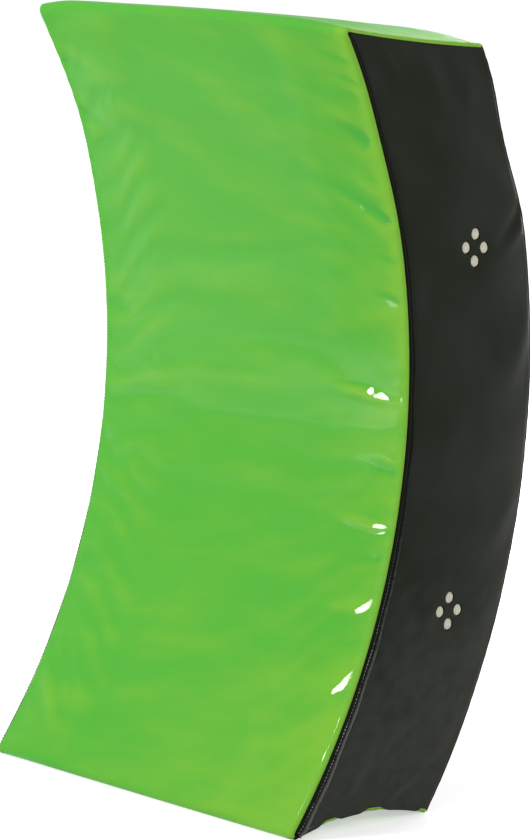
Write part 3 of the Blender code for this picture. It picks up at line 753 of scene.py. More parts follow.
def resampled(values, rows, columns):
    """A lattice of values read at fractional rows and columns."""
    return cubic(cubic(values, rows).swapaxes(0, 1), columns).swapaxes(0, 1)


def refined(values, coarse, fine):
    """A coarse lattice's values, read at the places of a finer one."""
    rows = np.interp(fine.along, coarse.along, np.arange(len(coarse.along)))
    columns = np.interp(fine.across, coarse.across, np.arange(len(coarse.across)))
    return resampled(values, rows, columns)


def sampled(values, row, column):
    """A lattice of values read at one fractional row and column."""
    return cubic(cubic(values, np.array([row]))[0], np.array([column]))[0]


CLOTH_FRAMES = 24
WEIGHT_STEPS = 40  # even steps from 0 to 1 that a cloth weight is rounded to


def settle(points, hold, slack, stretch, push):
    """How far Blender's cloth moves a lattice of vinyl held at its seams (hold 1) and lightly by
    the foam elsewhere, once it has stretch times too much length where slack is 1 and the foam
    pushes from behind."""
    rows, columns = points.shape[:2]
    trial = object_from("settling", points, lattice_faces(rows, columns))
    for key, weights in (("hold", hold), ("slack", slack)):
        group = trial.vertex_groups.new(name=key)
        steps = np.round(np.clip(weights, 0, 1).ravel() * WEIGHT_STEPS).astype(int)
        for step in np.unique(steps[steps > 0]):
            group.add(np.nonzero(steps == step)[0].tolist(), float(step) / WEIGHT_STEPS, "REPLACE")
    cloth = trial.modifiers.new("cloth", "CLOTH")
    setup = cloth.settings
    setup.quality = 8
    setup.mass = 0.15
    setup.tension_stiffness = setup.compression_stiffness = 60
    setup.shear_stiffness = 30
    setup.bending_stiffness = 0.5
    setup.tension_damping = setup.compression_damping = 12
    setup.air_damping = 6
    setup.vertex_group_mass = "hold"
    setup.pin_stiffness = 1.0
    setup.vertex_group_shrink = "slack"
    setup.shrink_min = 0.0
    setup.shrink_max = -stretch
    setup.use_pressure = True
    setup.uniform_pressure_force = push
    setup.effector_weights.gravity = 0
    cloth.collision_settings.use_collision = False
    cloth.point_cache.frame_start = 1
    cloth.point_cache.frame_end = CLOTH_FRAMES
    scene = bpy.context.scene
    for number in range(1, CLOTH_FRAMES + 1):
        scene.frame_set(number)
    settled = trial.evaluated_get(bpy.context.evaluated_depsgraph_get()).to_mesh()
    places = np.zeros(rows * columns * 3, np.float32)
    settled.vertices.foreach_get("co", places)
    scene.frame_set(1)
    bpy.data.objects.remove(trial)
    return places.reshape(points.shape).astype(float) - points


# Strike cover


class StrikeCover:
    """The green sheet: under the lower end, up the strike face and over the upper end."""

    def __init__(self, sizes, step, *stretches):
        front, back = sides_of(sizes)
        self.sizes = sizes
        span = back.corner_y - front.corner_y
        ends = runs((1.0, 0.0, 1.3 * step / span))[:-1]
        shares = runs((-1.0, 1.0, step / front.length * 2))
        side, normals = front.rows(shares, CORNER_ROWS)
        low = np.stack([front.corner_y + ends * span, 0 * ends], -1)
        high = low[::-1] * (1, -1) + (0, sizes.height)
        down, up = np.tile((0.0, -1.0), (len(ends), 1)), np.tile((0.0, 1.0), (len(ends), 1))
        self.points = np.concatenate([low, side, high])
        self.normals = np.concatenate([down, normals, up])
        self.end = np.concatenate([ends, np.zeros(len(side)), ends[::-1]])
        self.level = np.pad(shares, CORNER_ROWS + len(ends), mode="edge")
        self.held = np.concatenate([0 * ends, np.ones(len(side)), 0 * ends])
        self.top = np.concatenate([np.zeros(len(ends) + len(side)), np.ones(len(ends))])
        along = distances(self.points)
        self.along = along - along[-1] / 2
        self.x, self.turn = across_rolled(sizes, *stretches)
        self.across = distances(np.stack([self.x, sizes.roll * (1 - np.cos(self.turn))], -1))
        self.across -= self.across[-1] / 2

    def base(self):
        sizes = self.sizes
        half = sizes.width / 2 - sizes.roll
        swell = bulge(self.x / half)
        depth = sizes.roll * (1 - np.cos(self.turn))
        face = sizes.face_crown * np.outer(bulge(self.level), swell)
        inset = depth[None, :] - face
        yz = self.points[:, None] - self.normals[:, None] * inset[:, :, None]
        x = np.broadcast_to(self.x, inset.shape)
        made = np.concatenate([x[:, :, None], yz], -1)
        made[:, :, 0] *= 1 - self.held[:, None] * waist(sizes, made[:, :, 2]) / half
        top = self.top * bulge(2 * self.end - 1)
        made[:, :, 2] += 0.55 * sizes.top_crown * np.outer(top, swell)
        lip = smooth(sizes.height - 0.03, sizes.height, made[:, :, 2])
        lip = lip * hump(self.end, width=0.25)[:, None]
        made[:, :, 2] += sizes.lip_corner * lip * hump(self.x, width=0.040, middle=-0.160)[None, :]
        made[:, :, 2] += drawn(sizes, x, self.end[:, None], made[:, :, 2])
        return made

    def grids(self):
        return np.meshgrid(self.across, self.along)


# Folds of the strike face: start and end in metres across and up it, width and height of the fold,
# its bow to one side and the share of its length at which it is strongest
STRIKE_FOLDS = (
    # Puckers that reach the right seam
    ((0.080, 0.236), (0.190, 0.184), 0.0050, -0.0022, 0.004, 0.90),
    ((0.120, 0.243), (0.188, 0.203), 0.0075, 0.0015, 0.004, 0.75),
    ((0.125, 0.205), (0.188, 0.172), 0.0090, 0.0014, 0.003, 0.75),
    ((0.135, 0.288), (0.183, 0.258), 0.0060, -0.0020, 0.003, 0.85),
    ((0.095, 0.300), (0.178, 0.276), 0.0090, 0.0012, 0.003, 0.70),
    ((0.150, 0.330), (0.191, 0.314), 0.0032, -0.0012, 0.0015, 0.80),
    ((0.148, 0.316), (0.189, 0.300), 0.0032, -0.0010, 0.0015, 0.80),
    ((0.150, 0.348), (0.189, 0.336), 0.0032, -0.0010, 0.001, 0.75),
    ((0.130, 0.124), (0.189, 0.115), 0.0045, -0.0013, 0.002, 0.88),
    ((0.120, 0.100), (0.186, 0.100), 0.0090, 0.0012, 0.002, 0.75),
    ((0.140, 0.158), (0.189, 0.148), 0.0060, -0.0010, 0.002, 0.85),
    ((0.130, -0.030), (0.188, -0.038), 0.0055, -0.0010, 0.002, 0.85),
    ((0.120, -0.118), (0.188, -0.112), 0.0055, -0.0011, -0.002, 0.85),
    ((0.130, -0.196), (0.190, -0.186), 0.0055, -0.0005, -0.002, 0.85),
    # Broad pulls across the face
    ((-0.060, 0.318), (0.150, 0.232), 0.0160, 0.0013, 0.004, 0.60),
    ((-0.100, 0.286), (0.100, 0.215), 0.0130, -0.0009, 0.004, 0.60),
    ((-0.185, 0.128), (0.150, 0.166), 0.0110, -0.0008, -0.006, 0.50),
    ((-0.180, 0.098), (0.130, 0.128), 0.0130, 0.0008, -0.005, 0.50),
    ((-0.100, 0.058), (0.165, 0.068), 0.0130, -0.0010, 0.005, 0.75),
    ((-0.170, 0.020), (0.120, 0.034), 0.0110, 0.0007, -0.004, 0.50),
    ((-0.150, -0.020), (0.150, -0.002), 0.0120, -0.0007, 0.004, 0.60),
    ((-0.130, -0.062), (0.160, -0.052), 0.0120, 0.0006, 0.003, 0.60),
    ((-0.120, -0.118), (0.150, -0.130), 0.0140, -0.0006, 0.004, 0.55),
    # Puckers of the left seam
    ((-0.191, 0.078), (-0.145, 0.070), 0.0060, -0.0012, 0.002, 0.25),
    ((-0.191, 0.040), (-0.140, 0.050), 0.0070, -0.0012, 0.002, 0.25),
    ((-0.190, 0.268), (-0.130, 0.240), 0.0080, -0.0014, 0.003, 0.25),
    ((-0.190, 0.320), (-0.130, 0.300), 0.0080, -0.0012, 0.002, 0.25),
    ((-0.191, 0.150), (-0.120, 0.135), 0.0090, -0.0010, 0.002, 0.25),
    ((-0.191, -0.060), (-0.140, -0.050), 0.0070, -0.0009, 0.002, 0.25),
    ((-0.191, -0.180), (-0.140, -0.165), 0.0080, -0.0009, 0.002, 0.25),
)


# Tucks between the puckers of the right seam: the slope of the right flank, and from the top down
# the height on the face and where the flank starts and ends
STRIKE_TUCKS = (
    (0.102, (
        (0.0375, 0.148, 0.148), (0.0350, 0.141, 0.156), (0.0318, 0.143, 0.166),
        (0.0285, 0.150, 0.172), (0.0256, 0.158, 0.173), (0.0230, 0.169, 0.169),
    )),
    (0.060, (
        (0.0295, 0.185, 0.185), (0.0278, 0.182, 0.1885), (0.0255, 0.1845, 0.1885),
        (0.0235, 0.188, 0.188),
    )),
    (0.066, (
        (-0.0765, 0.163, 0.163), (-0.0795, 0.156, 0.172), (-0.0822, 0.157, 0.180),
        (-0.0850, 0.162, 0.184), (-0.0880, 0.170, 0.182), (-0.0905, 0.177, 0.177),
    )),
    (0.072, (
        (-0.1450, 0.186, 0.186), (-0.1470, 0.184, 0.186), (-0.1545, 0.173, 0.184),
        (-0.1615, 0.164, 0.181), (-0.1660, 0.166, 0.175), (-0.1690, 0.171, 0.171),
    )),
    (0.068, (
        (-0.2070, 0.188, 0.188), (-0.2100, 0.185, 0.188), (-0.2250, 0.172, 0.184),
        (-0.2360, 0.167, 0.183), (-0.2420, 0.168, 0.182), (-0.2500, 0.176, 0.181),
        (-0.2530, 0.180, 0.180),
    )),
    (0.055, (
        (-0.2530, 0.183, 0.183), (-0.2548, 0.181, 0.184), (-0.2634, 0.185, 0.188),
        (-0.2680, 0.188, 0.188),
    )),
    (0.050, (
        (-0.2820, 0.1885, 0.1885), (-0.2848, 0.186, 0.1885), (-0.2895, 0.185, 0.1886),
        (-0.2940, 0.186, 0.189), (-0.2995, 0.1895, 0.1895),
    )),
    (0.050, (
        (-0.3330, 0.185, 0.185), (-0.3358, 0.182, 0.1845), (-0.3415, 0.182, 0.1856),
        (-0.3470, 0.185, 0.187), (-0.3512, 0.188, 0.188),
    )),
)

# Heights on the face where the right seam's edge is polished, and the reach of each such patch
SEAM_POLISH = ((0.026, 0.004), (-0.262, 0.009), (-0.291, 0.009), (-0.343, 0.010))

FACE_MOVES = (-0.0035, 0.006)  # how far the cloth run may move the face

# The face's mesh: its step up the face, and the (start, end, step) of a stretch across it, from
# the middle out
FACE_MESH = (0.0028, (0, 0.115, 0.0050))
FACE_CLOTH_MESH = (0.0060, (0, 0.080, 0.0110))


def strike_surface(sizes):
    """The strike cover's lattice with its folds, and how far each point stands out of the form."""
    cover = StrikeCover(sizes, *FACE_MESH)
    trial = StrikeCover(sizes, *FACE_CLOTH_MESH)
    base = cover.base()
    u, v = cover.grids()
    tu, tv = trial.grids()
    reach = cover.across[-1]
    seam = reach - np.abs(tu)
    hold = np.maximum(1 - smooth(0, 0.004, seam), 0.03 + 0.20 * smooth(0.06, 0.15, seam))
    hold[[0, -1]] = 1
    uneven = 0.55 + 0.6 * ripples(21, 0.2 * tu, tv, size=0.085, tilt=0.4)
    slack = (1 - smooth(0.015, 0.110, seam)) * np.clip(uneven, 0.1, 1)
    moved = settle(trial.base(), hold, slack, stretch=0.030, push=1.0)
    moves = np.clip(refined(moved, trial, cover), *FACE_MOVES)
    edge = reach - np.abs(u)
    kept = smooth(0, 0.003, edge) * (1 - 0.55 * smooth(0.08, 0.14, u))
    points = base + moves * kept[:, :, None]
    height = 0.0005 * ripples(3, u, v, size=0.11, tilt=0.5) * smooth(0.0, 0.05, edge)
    near = np.exp(-edge / 0.014)
    height += 0.00035 * ripples(4, u, v, size=0.016, tilt=0.9) * near * smooth(0, 0.004, edge)
    for fold in STRIKE_FOLDS:
        height += crease(u, v, *fold)
    for fold in STRIKE_TUCKS:
        height += tuck(u, v, *fold)
    points = points + surface_normals(points) * height[:, :, None]
    depth = np.einsum("ijk,ijk->ij", points - base, surface_normals(base))
    return cover, points, depth - broad(depth)


def face_painted_light(reach, u, v, relief):
    """Painted light: how far the face's colour goes to the lit, yellower green. It is most by its
    right seam, then in a thin line along both seams, low down on the right and on raised folds, and
    least by the left seam and in dips."""
    edge = reach - u
    painted_light = 0.30 + 0.55 * np.exp(-edge / 0.028) + 0.5 * hump(reach - np.abs(u), width=0.0026)
    painted_light += 0.9 * hump(edge, width=0.007, middle=0.006) * smooth(0.02, 0.12, v)
    painted_light += 0.45 * smooth(-0.14, -0.34, v) * smooth(-0.12, 0.14, u)
    painted_light -= 0.15 * np.exp(-(u + reach) / 0.03)
    return painted_light + 0.9 * np.clip(relief / 0.0022, -1, 1)


def face_gloss(reach, u, v):
    """How glossy the face is: most beside its seams, dull on the rolled edge but for the polished
    patches, and dulled towards the top, the upper left and the upper part of the right seam. Where
    it is dull, white is mixed into the face's colour as a painted reflection."""
    seam = reach - np.abs(u)
    polished = sum(hump(v, width=patch, middle=middle, power=4) for middle, patch in SEAM_POLISH)
    polished = np.minimum(polished * (u > 0), 1) * smooth(0.0015, 0.0025, seam)
    gloss = np.maximum(smooth(0.0075, 0.0120, seam), polished)
    gloss *= 0.62 + 0.38 * smooth(0.105, 0.145, np.abs(u))
    gloss *= 1 - 0.6 * smooth(0.115, 0.185, -u) * smooth(-0.16, 0.05, v)
    gloss *= 1 - 0.5 * smooth(0.30, 0.35, v)
    return gloss * (1 - 0.85 * smooth(0.050, 0.085, v) * smooth(0.10, 0.13, u))


def strike_cover_piece(sizes, colours):
    cover, points, relief = strike_surface(sizes)
    u, v = cover.grids()
    reach = cover.across[-1]
    lean = 0.128 - 0.45 * smooth(0.13, 0.24, v)
    attributes = {
        "cut": cut_of(u, v),
        "flow": cut_of(0.30 * u, v - lean * u),
        # Painted light as a share: yellower where more light falls on the face
        "painted_light": face_painted_light(reach, u, v, relief),
        # Painted shade as a share: deeper in the face's dips
        "dip": np.clip(-relief / 0.0018, 0, 1),
        # Painted highlight: where the paler green lines the seams
        "rim": hump(reach - np.abs(u), width=0.0015),
        # Gloss, and where it is low, a painted reflection in the colour
        "gloss": face_gloss(reach, u, v) * (1 - 0.95 * (cover.end > 0))[:, None],
    }
    made = vinyl_sheet("strike_cover", points, sizes.vinyl, attributes)
    dress(made, strike_vinyl(colours), "green_vinyl", "front_wrap")
    2 * reach
    cover.along[-1] * 2


# Sides


# Where a side doesn't hang over the foot's edge: metres from the strike face, and the reach
FOOT_BARE = ((0.046, 0.012), (0.107, 0.015), (0.178, 0.008))

SIDE_MOVES = (-0.0030, 0.005)  # how far the cloth run may move a side


class Flank:
    """A side panel between the strike face's seam and the back's, at one side of the pad."""

    def __init__(self, sizes, side, step, count):
        self.sizes, self.side = sizes, side
        front, back = sides_of(sizes)
        shares = runs((-1.0, 1.0, step * 2 / front.length))
        self.shares = np.pad(shares, CORNER_ROWS, mode="edge")
        self.columns = np.linspace(0, 1, count)[::side]
        start, start_normals = front.rows(shares, CORNER_ROWS)
        end, end_normals = back.rows(shares, CORNER_ROWS)
        depth = sizes.roll + sizes.gap
        self.start = start - start_normals * depth
        self.finish = end - end_normals * depth
        self.length = np.linalg.norm(end - start, axis=1)
        along = distances((self.start + self.finish) / 2)
        self.along = along - along[-1] / 2
        self.across = side * self.columns * self.length.max()

    def base(self):
        sizes = self.sizes
        flat = (sizes.welt_width + sizes.welt_groove) / self.length[:, None]
        share = self.columns[None, :]
        back = np.maximum((share - flat) / (1 - flat), 0)
        swell = sizes.side_crown * bulge(2 * back - 1) * bulge(self.shares)[:, None]
        x = self.side * (sizes.width / 2 + np.where(back > 0, swell, 0))
        yz = self.start[:, None] + (self.finish - self.start)[:, None] * share[:, :, None]
        x = x - self.side * waist(sizes, yz[:, :, 1]) * (1 - smooth(0, 0.6, share))
        made = np.concatenate([x[:, :, None], yz], -1)
        foot = made[:, :, 2] - (sizes.roll + sizes.gap)
        made[:, :, 2] += drawn(sizes, sizes.width, share, made[:, :, 2])
        reach = share * self.length.max()
        bare = sum(hump(reach, width=wide, middle=middle, power=4) for middle, wide in FOOT_BARE)
        made[:, :, 2] -= sizes.foot_hang * (1 - np.minimum(bare, 1)) * np.exp(-foot / 0.006)
        return made

    def grids(self):
        """Metres from the strike face, and up the side from its middle."""
        u = self.columns[None, :] * np.linalg.norm(self.finish - self.start, axis=1)[:, None]
        return u, np.broadcast_to(self.along[:, None], u.shape)


# Folds of a side panel, as for the strike face, but from the strike face back and up from the
# side's middle
SIDE_FOLDS = (
    ((0.026, -0.262), (0.054, -0.356), 0.0075, 0.0014, 0.003, 0.75),
    ((0.042, -0.255), (0.075, -0.356), 0.0080, -0.0010, 0.003, 0.75),
    ((0.140, -0.318), (0.108, -0.366), 0.0050, 0.0012, 0.001, 0.80),
    ((0.150, -0.322), (0.124, -0.366), 0.0050, -0.0009, 0.001, 0.80),
    ((0.092, 0.368), (0.084, 0.262), 0.0095, 0.0010, 0.002, 0.25),
    ((0.116, 0.368), (0.112, 0.280), 0.0090, -0.0008, 0.001, 0.25),
    ((0.160, 0.360), (0.104, 0.255), 0.0100, 0.0009, -0.004, 0.45),
    ((0.036, 0.366), (0.044, 0.300), 0.0080, 0.0008, 0.001, 0.30),
    ((0.168, 0.120), (0.120, 0.020), 0.0120, 0.0010, 0.004, 0.40),
    ((0.168, -0.050), (0.110, -0.120), 0.0130, 0.0010, 0.004, 0.40),
    ((0.016, -0.180), (0.070, -0.240), 0.0100, 0.0008, 0.003, 0.40),
    ((0.195, 0.226), (0.108, 0.158), 0.0060, -0.0017, 0.003, 0.28),
    ((0.195, 0.211), (0.108, 0.146), 0.0070, 0.0014, 0.003, 0.28),
)


def flank_surface(sizes, side):
    panel = Flank(sizes, side, step=0.0030, count=70)
    trial = Flank(sizes, side, step=0.0065, count=34)
    base = panel.base()
    u, v = panel.grids()
    tu, tv = trial.grids()
    width = np.maximum(u.max(axis=1), u[:, -1])[:, None]
    edges = np.minimum(np.minimum(tu, tu.max(axis=1)[:, None] - tu), trial.along[-1] - np.abs(tv))
    hold = np.maximum(1 - smooth(0, 0.006, edges), 0.04 + 0.20 * smooth(0.05, 0.10, edges))
    uneven = 0.5 + 0.6 * ripples(33 + side, tu, tv, size=0.08, tilt=2.5)
    slack = (1 - smooth(0.012, 0.090, edges)) * np.clip(uneven, 0.05, 1)
    moved = settle(trial.base(), hold, slack, stretch=0.028, push=0.9)
    moves = np.clip(refined(moved, trial, panel), *SIDE_MOVES)
    edge = np.minimum(np.minimum(u, width - u), panel.along[-1] - np.abs(v))
    points = base + moves * smooth(0.0, 0.008, edge)[:, :, None]
    clear = smooth(sizes.welt_width, sizes.welt_width + 0.012, u)
    height = 0.0006 * ripples(5 + side, u, v, size=0.09, tilt=2.0) * clear
    near = np.exp(-np.maximum(u - 0.01, 0) / 0.016)
    height += 0.00030 * ripples(7 + side, u, v, size=0.014, tilt=0.9) * near * clear
    for fold in SIDE_FOLDS:
        height += crease(u, v, *fold) * clear
    points = points + surface_normals(points) * (height * smooth(0, 0.004, edge))[:, :, None]
    return panel, points


HOLE_POINTS, VENT_POINTS = 36, 28  # round a vent hole, and round the foam in it
HOLE_DIMPLE = 0.0005  # how far the cover is pressed in round a hole
HOLE_RINGS = (0, 0.0007, 0.0019)  # rings of points round a vent hole, from its edge
HOLE_CLEAR = 0.0030  # how far from the edge the lattice's own points start
VENT_RINGS = (0.97, 0.88, 0.74, 0.55, 0.30, 0.08)  # rings of the foam in a hole, by its radius


def vent_clusters(sizes):
    """The (y, z) centres of each diamond of four vent holes."""
    front, _ = sides_of(sizes)
    reach = sizes.vent_spread / 2
    for cluster in (-1, 1):
        z = sizes.height / 2 + cluster * sizes.vent_spacing / 2
        y = front.y_at(z) + sizes.vent_setback
        diamond = ((1, 0), (0, 1), (-1, 0), (0, -1))
        yield [np.array((y + a * reach, z + b * reach)) for a, b in diamond]


def index_at(points, spot):
    """The fractional row and column of a lattice at a (y, z) spot, and how they change with it."""
    flat = points[:, :, 1:]
    off = np.linalg.norm(flat - spot, axis=2)
    row, column = np.unravel_index(np.argmin(off), off.shape)
    up = flat[row + 1, column] - flat[row - 1, column]
    aside = flat[row, column + 1] - flat[row, column - 1]
    slopes = np.stack([up, aside], 1)
    change = np.linalg.inv(slopes / 2)
    return np.array((row, column)) + change @ (spot - flat[row, column]), change


def punched(points, clusters, radius):
    """A lattice with round holes: the extra fractional rows and columns of the points round the
    holes, which follow the lattice's own, and all the faces."""
    rows, columns = points.shape[:2]
    index = np.arange(rows * columns).reshape(rows, columns)
    kept = np.ones((rows - 1, columns - 1), bool)
    turns = turns_of(HOLE_POINTS)
    circle = np.stack([np.cos(turns), np.sin(turns)], 1)
    extra, faces = [], []
    for cluster in clusters:
        spots = [index_at(points, spot) for spot in cluster]
        rings = [
            spot + (radius + out) * circle @ change.T
            for spot, change in spots
            for out in HOLE_RINGS
        ]
        low = np.floor(np.min([ring.min(0) for ring in rings], 0)).astype(int) - 1
        high = np.ceil(np.max([ring.max(0) for ring in rings], 0)).astype(int) + 1
        block = [(r, c) for r in range(low[0], high[0] + 1) for c in range(low[1], high[1] + 1)]

        def off(place):
            moves = (np.linalg.solve(change, place - spot) for spot, change in spots)
            return min(np.linalg.norm(move) for move in moves)

        block = [place for place in block if off(np.array(place)) > radius + HOLE_CLEAR]
        names = [int(index[place]) for place in block]
        where = {place: n for n, place in enumerate(block)}
        border = [(low[0], c) for c in range(low[1], high[1])]
        border += [(r, high[1]) for r in range(low[0], high[0])]
        border += [(high[0], c) for c in range(high[1], low[1], -1)]
        border += [(r, low[1]) for r in range(high[0], low[0], -1)]
        edges = [(where[a], where[b]) for a, b in zip(border, border[1:] + border[:1])]
        places = [np.array(place, float) for place in block]
        for ring in rings:
            first, count = len(places), len(ring)
            edges += [(first + n, first + (n + 1) % count) for n in range(count)]
            names += [rows * columns + len(extra) + n for n in range(count)]
            places += list(ring)
            extra += list(ring)
        flat = [Vector((place[1], place[0])) for place in places]
        made, _, triangles, origins, _, _ = delaunay_2d_cdt(flat, edges, [], 0, 1e-7)
        for triangle in triangles:
            middle = np.mean([(made[n].y, made[n].x) for n in triangle], axis=0)
            if off(middle) > 0.97 * radius:
                faces.append(tuple(names[origins[n][0]] for n in triangle))
        kept[low[0]:high[0], low[1]:high[1]] = False
    return np.array(extra), lattice_faces(rows, columns, kept) + faces


def flank_pieces(sizes, colours, side, name, node):
    """One side panel, and the foam that swells into its vents."""
    panel, points = flank_surface(sizes, side)
    u, v = panel.grids()
    clusters = list(vent_clusters(sizes))
    spots = [spot for cluster in clusters for spot in cluster]
    for spot in spots:
        off = np.linalg.norm(points[:, :, 1:] - spot, axis=2)
        points[:, :, 0] -= side * HOLE_DIMPLE * hump(off, width=0.0085)
    extra, faces = punched(points, clusters, sizes.vent_radius)
    values = np.concatenate([points, u[:, :, None], v[:, :, None]], -1)
    rim = np.stack([sampled(values, row, column) for row, column in extra])
    values = np.concatenate([values.reshape(-1, 5), rim])
    attributes = {
        "cut": cut_of(values[:, 3], values[:, 4])[None],
        # Painted light: paler towards the floor, standing in for light bounced off the floor
        "rub": 0.9 * (1 - smooth(0.04, 0.34, values[:, 2])),
        # Painted shade: darker along the front edge, next to the welt
        "hem": hump(values[:, 3], width=0.007),
    }
    made = object_from(name, values[:, :3], faces, attributes)
    thicken(made, sizes.vinyl)
    dress(made, cover_vinyl(colours, name + "_vinyl"), "black_vinyl", node)
    area = float(np.sum(panel.length[1:] * np.diff(panel.along)))
    flat = (float(panel.length.max()), float(2 * panel.along[-1]))
    min(area, flat[0] * flat[1])

    normals, turns = surface_normals(points), turns_of(VENT_POINTS)
    loops = [vent_rings(sizes, points, normals, spot, turns) for spot in spots]
    foam = lofts(name + "_vent_foam", loops)
    dress(foam, foam_finish(name + "_vent_foam", colours.foam), "cream_foam")


def vent_rings(sizes, points, normals, spot, turns):
    """Rings of the foam in one vent hole, from behind the cover to the top of its swell."""
    (row, column), _ = index_at(points, spot)
    middle, out = sampled(points, row, column), sampled(normals, row, column)
    aside = np.cross(out, (0, 0, 1))
    aside /= np.linalg.norm(aside)
    above = np.cross(aside, out)
    spokes = np.cos(turns)[:, None] * aside + np.sin(turns)[:, None] * above
    radius = sizes.vent_radius - sizes.vent_clearance
    rings = [middle + out * depth + radius * spokes for depth in (-0.0065, -0.0012)]
    for share in VENT_RINGS:
        lift = sizes.vent_swell * (1.6 * (1 - share**2) - 0.6)
        uneven = 0.00012 * np.cos(3 * turns + 40 * spot[1])[:, None] * share
        rings.append(middle + out * lift + out * uneven + share * radius * spokes)
    return rings


# Back cover


HEM_EDGE = 0.35  # where the back cover ends under the window's hem, as a share of its width
BACK_SEAM_INSET = 0.0085  # from the back cover's edge to its top stitching
BACK_SEAM_ENDS = 0.004  # where that stitching starts and stops


def flats_of(sizes, back):
    """The flat stretches of the back: (middle, length, half width, middle across) of each."""
    yield sizes.zip_rise, sizes.zip_flat, sizes.width / 2 - 0.007, 0.0
    for end in (-1, 1):
        for side in (-1, 1):
            middle = back.length / 2 + end * sizes.grip_span / 2
            half_width = sizes.patch_width / 2 + 0.006
            yield middle, sizes.patch_length, half_width, side * sizes.grip_offset


def back_surface(sizes):
    """The black back's lattice, and the rows and columns of the zip's hole in it."""
    _, back = sides_of(sizes)
    window = sizes.zip_window / 2 + HEM_EDGE * sizes.hem
    wide = sizes.zip_half + HEM_EDGE * sizes.hem
    low, high = sizes.zip_rise - window, sizes.zip_rise + window
    marks = runs((0, low, 0.0034), (low, high, 0.0040), (high, back.length, 0.0034))
    shares = 2 * marks / back.length - 1
    side, normals = back.rows(shares, CORNER_ROWS)
    x, turn = across_rolled(sizes, (0, wide, 0.0048))
    level = np.pad(marks, CORNER_ROWS, mode="edge")
    depth = sizes.roll * (1 - np.cos(turn))
    u, v = np.meshgrid(distances(np.stack([x, depth], -1)), level)
    u = u - u[0, -1] / 2
    sag = np.zeros(u.shape)
    for middle, length, reach, centre in flats_of(sizes, back):
        chord = np.maximum((length / 2) ** 2 - (v - middle) ** 2, 0) / (2 * back.radius)
        inside = 1 - smooth(reach, reach + (0.003 if centre == 0 else 0.022), np.abs(u - centre))
        sag = np.maximum(sag, chord * inside)
    height = 0.0007 * ripples(51, u, v, size=0.10, tilt=2.0)
    edge = np.minimum(u[0, -1] - np.abs(u), 1)
    height += 0.0004 * ripples(52, u, v, size=0.018, tilt=1.2) * np.exp(-edge / 0.016)
    calm = np.ones(u.shape)
    for middle, length, reach, centre in flats_of(sizes, back):
        outside = np.maximum(np.abs(u - centre) - reach, np.abs(v - middle) - length / 2)
        over = smooth(0, 0.022, outside)
        calm *= over
        if centre:
            for a, b in ((-1, -1), (1, -1), (-1, 1), (1, 1)):
                start = (centre + a * reach * 0.7, middle + b * length * 0.42)
                end = (start[0] + a * 0.045, start[1] + b * 0.055)
                pull = {"width": 0.008, "height": 0.0014, "bow": 0.006 * a, "peak": 0.3}
                height += crease(u, v, start, end, **pull) * over
    height = (height * calm - sag) * smooth(0, 0.004, edge)
    yz = side[:, None] + normals[:, None] * (height - depth[None, :])[:, :, None]
    points = np.concatenate([np.broadcast_to(x, u.shape)[:, :, None], yz], -1)
    points[:, :, 2] += drawn(sizes, points[:, :, 0], 1.0, points[:, :, 2])
    return points, u, v, (low, high, wide)


def back_cover_piece(sizes, colours):
    points, u, v, (low, high, wide) = back_surface(sizes)
    middle_v, middle_u = (v[1:, :-1] + v[:-1, :-1]) / 2, (u[:-1, 1:] + u[:-1, :-1]) / 2
    hole = (middle_v > low) & (middle_v < high) & (np.abs(middle_u) < wide)
    points, u, v, hole = points[:, ::-1], u[:, ::-1], v[:, ::-1], hole[:, ::-1]
    # Paler towards the floor, and in random patches
    rub = 0.5 * (1 - smooth(0.0, 0.10, v)) + 0.3 * ripples(9, u, v, size=0.2, tilt=3.0)
    made = vinyl_sheet("back_cover", points, sizes.vinyl, {"cut": cut_of(u, v), "rub": rub}, ~hole)
    dress(made, cover_vinyl(colours, "back_cover_vinyl"), "black_vinyl", "back_panel")
    flat = (float(u.max() - u.min()), float(v.max() + 0.012))
    0.93 * flat[0] * flat[1]


def flat_frame(sizes, middle, length, x=0.0):
    """A frame on a flat stretch of the back: X is +X, Y runs down the back and Z outwards."""
    _, back = sides_of(sizes)
    ends, _ = back.arc(2 * np.array((middle - length / 2, middle + length / 2)) / back.length - 1)
    down = (ends[0] - ends[1]) / np.linalg.norm(ends[0] - ends[1])
    place = Matrix.Identity(4)
    place.col[1] = (0, *down, 0)
    place.col[2] = (0, -down[1], down[0], 0)
    place.col[3] = (x, *ends.mean(0), 1)
    return place


def placed(place, points):
    """Points of a frame, in metres on the wedge."""
    matrix = np.array(place)
    return np.asarray(points) @ matrix[:3, :3].T + matrix[:3, 3]


def raised(place, line, height):
    """Points of a frame's flat line, height metres above it."""
    return placed(place, np.column_stack([line, np.broadcast_to(height, len(line))]))


def sewn_on(name, place, line, height, sizes):
    """Stitches along a frame's flat line, height metres above it."""
    outward = np.tile(np.array(place.col[2])[:3], (len(line), 1))
    return stitches(name, raised(place, line, height), outward, sizes)


def closed_line(outline):
    return np.concatenate([outline, outline[:1]])


def rounded(half_length, half_width, radius, step=0.0016):
    """A closed outline with round corners: its points and the outward direction at each."""
    arcs = []
    for quarter, (sx, sy) in enumerate(((1, 1), (-1, 1), (-1, -1), (1, -1))):
        turns = (quarter + np.linspace(0, 1, max(4, int(1.6 * radius / step)) + 1)) * math.pi / 2
        out = np.stack([np.cos(turns), np.sin(turns)], 1)
        corner = np.array((sx * (half_length - radius), sy * (half_width - radius)))
        arcs.append((corner + radius * out, out))
    points, outs = [], []
    for n, (arc, out) in enumerate(arcs):
        goal = arcs[(n + 1) % 4][0][0]
        count = max(1, round(np.linalg.norm(goal - arc[-1]) / step))
        points += [arc, arc[-1] + (goal - arc[-1]) * np.linspace(0, 1, count + 1)[1:-1, None]]
        outs += [out, np.tile(out[-1], (count - 1, 1))]
    return np.concatenate(points), np.concatenate(outs)


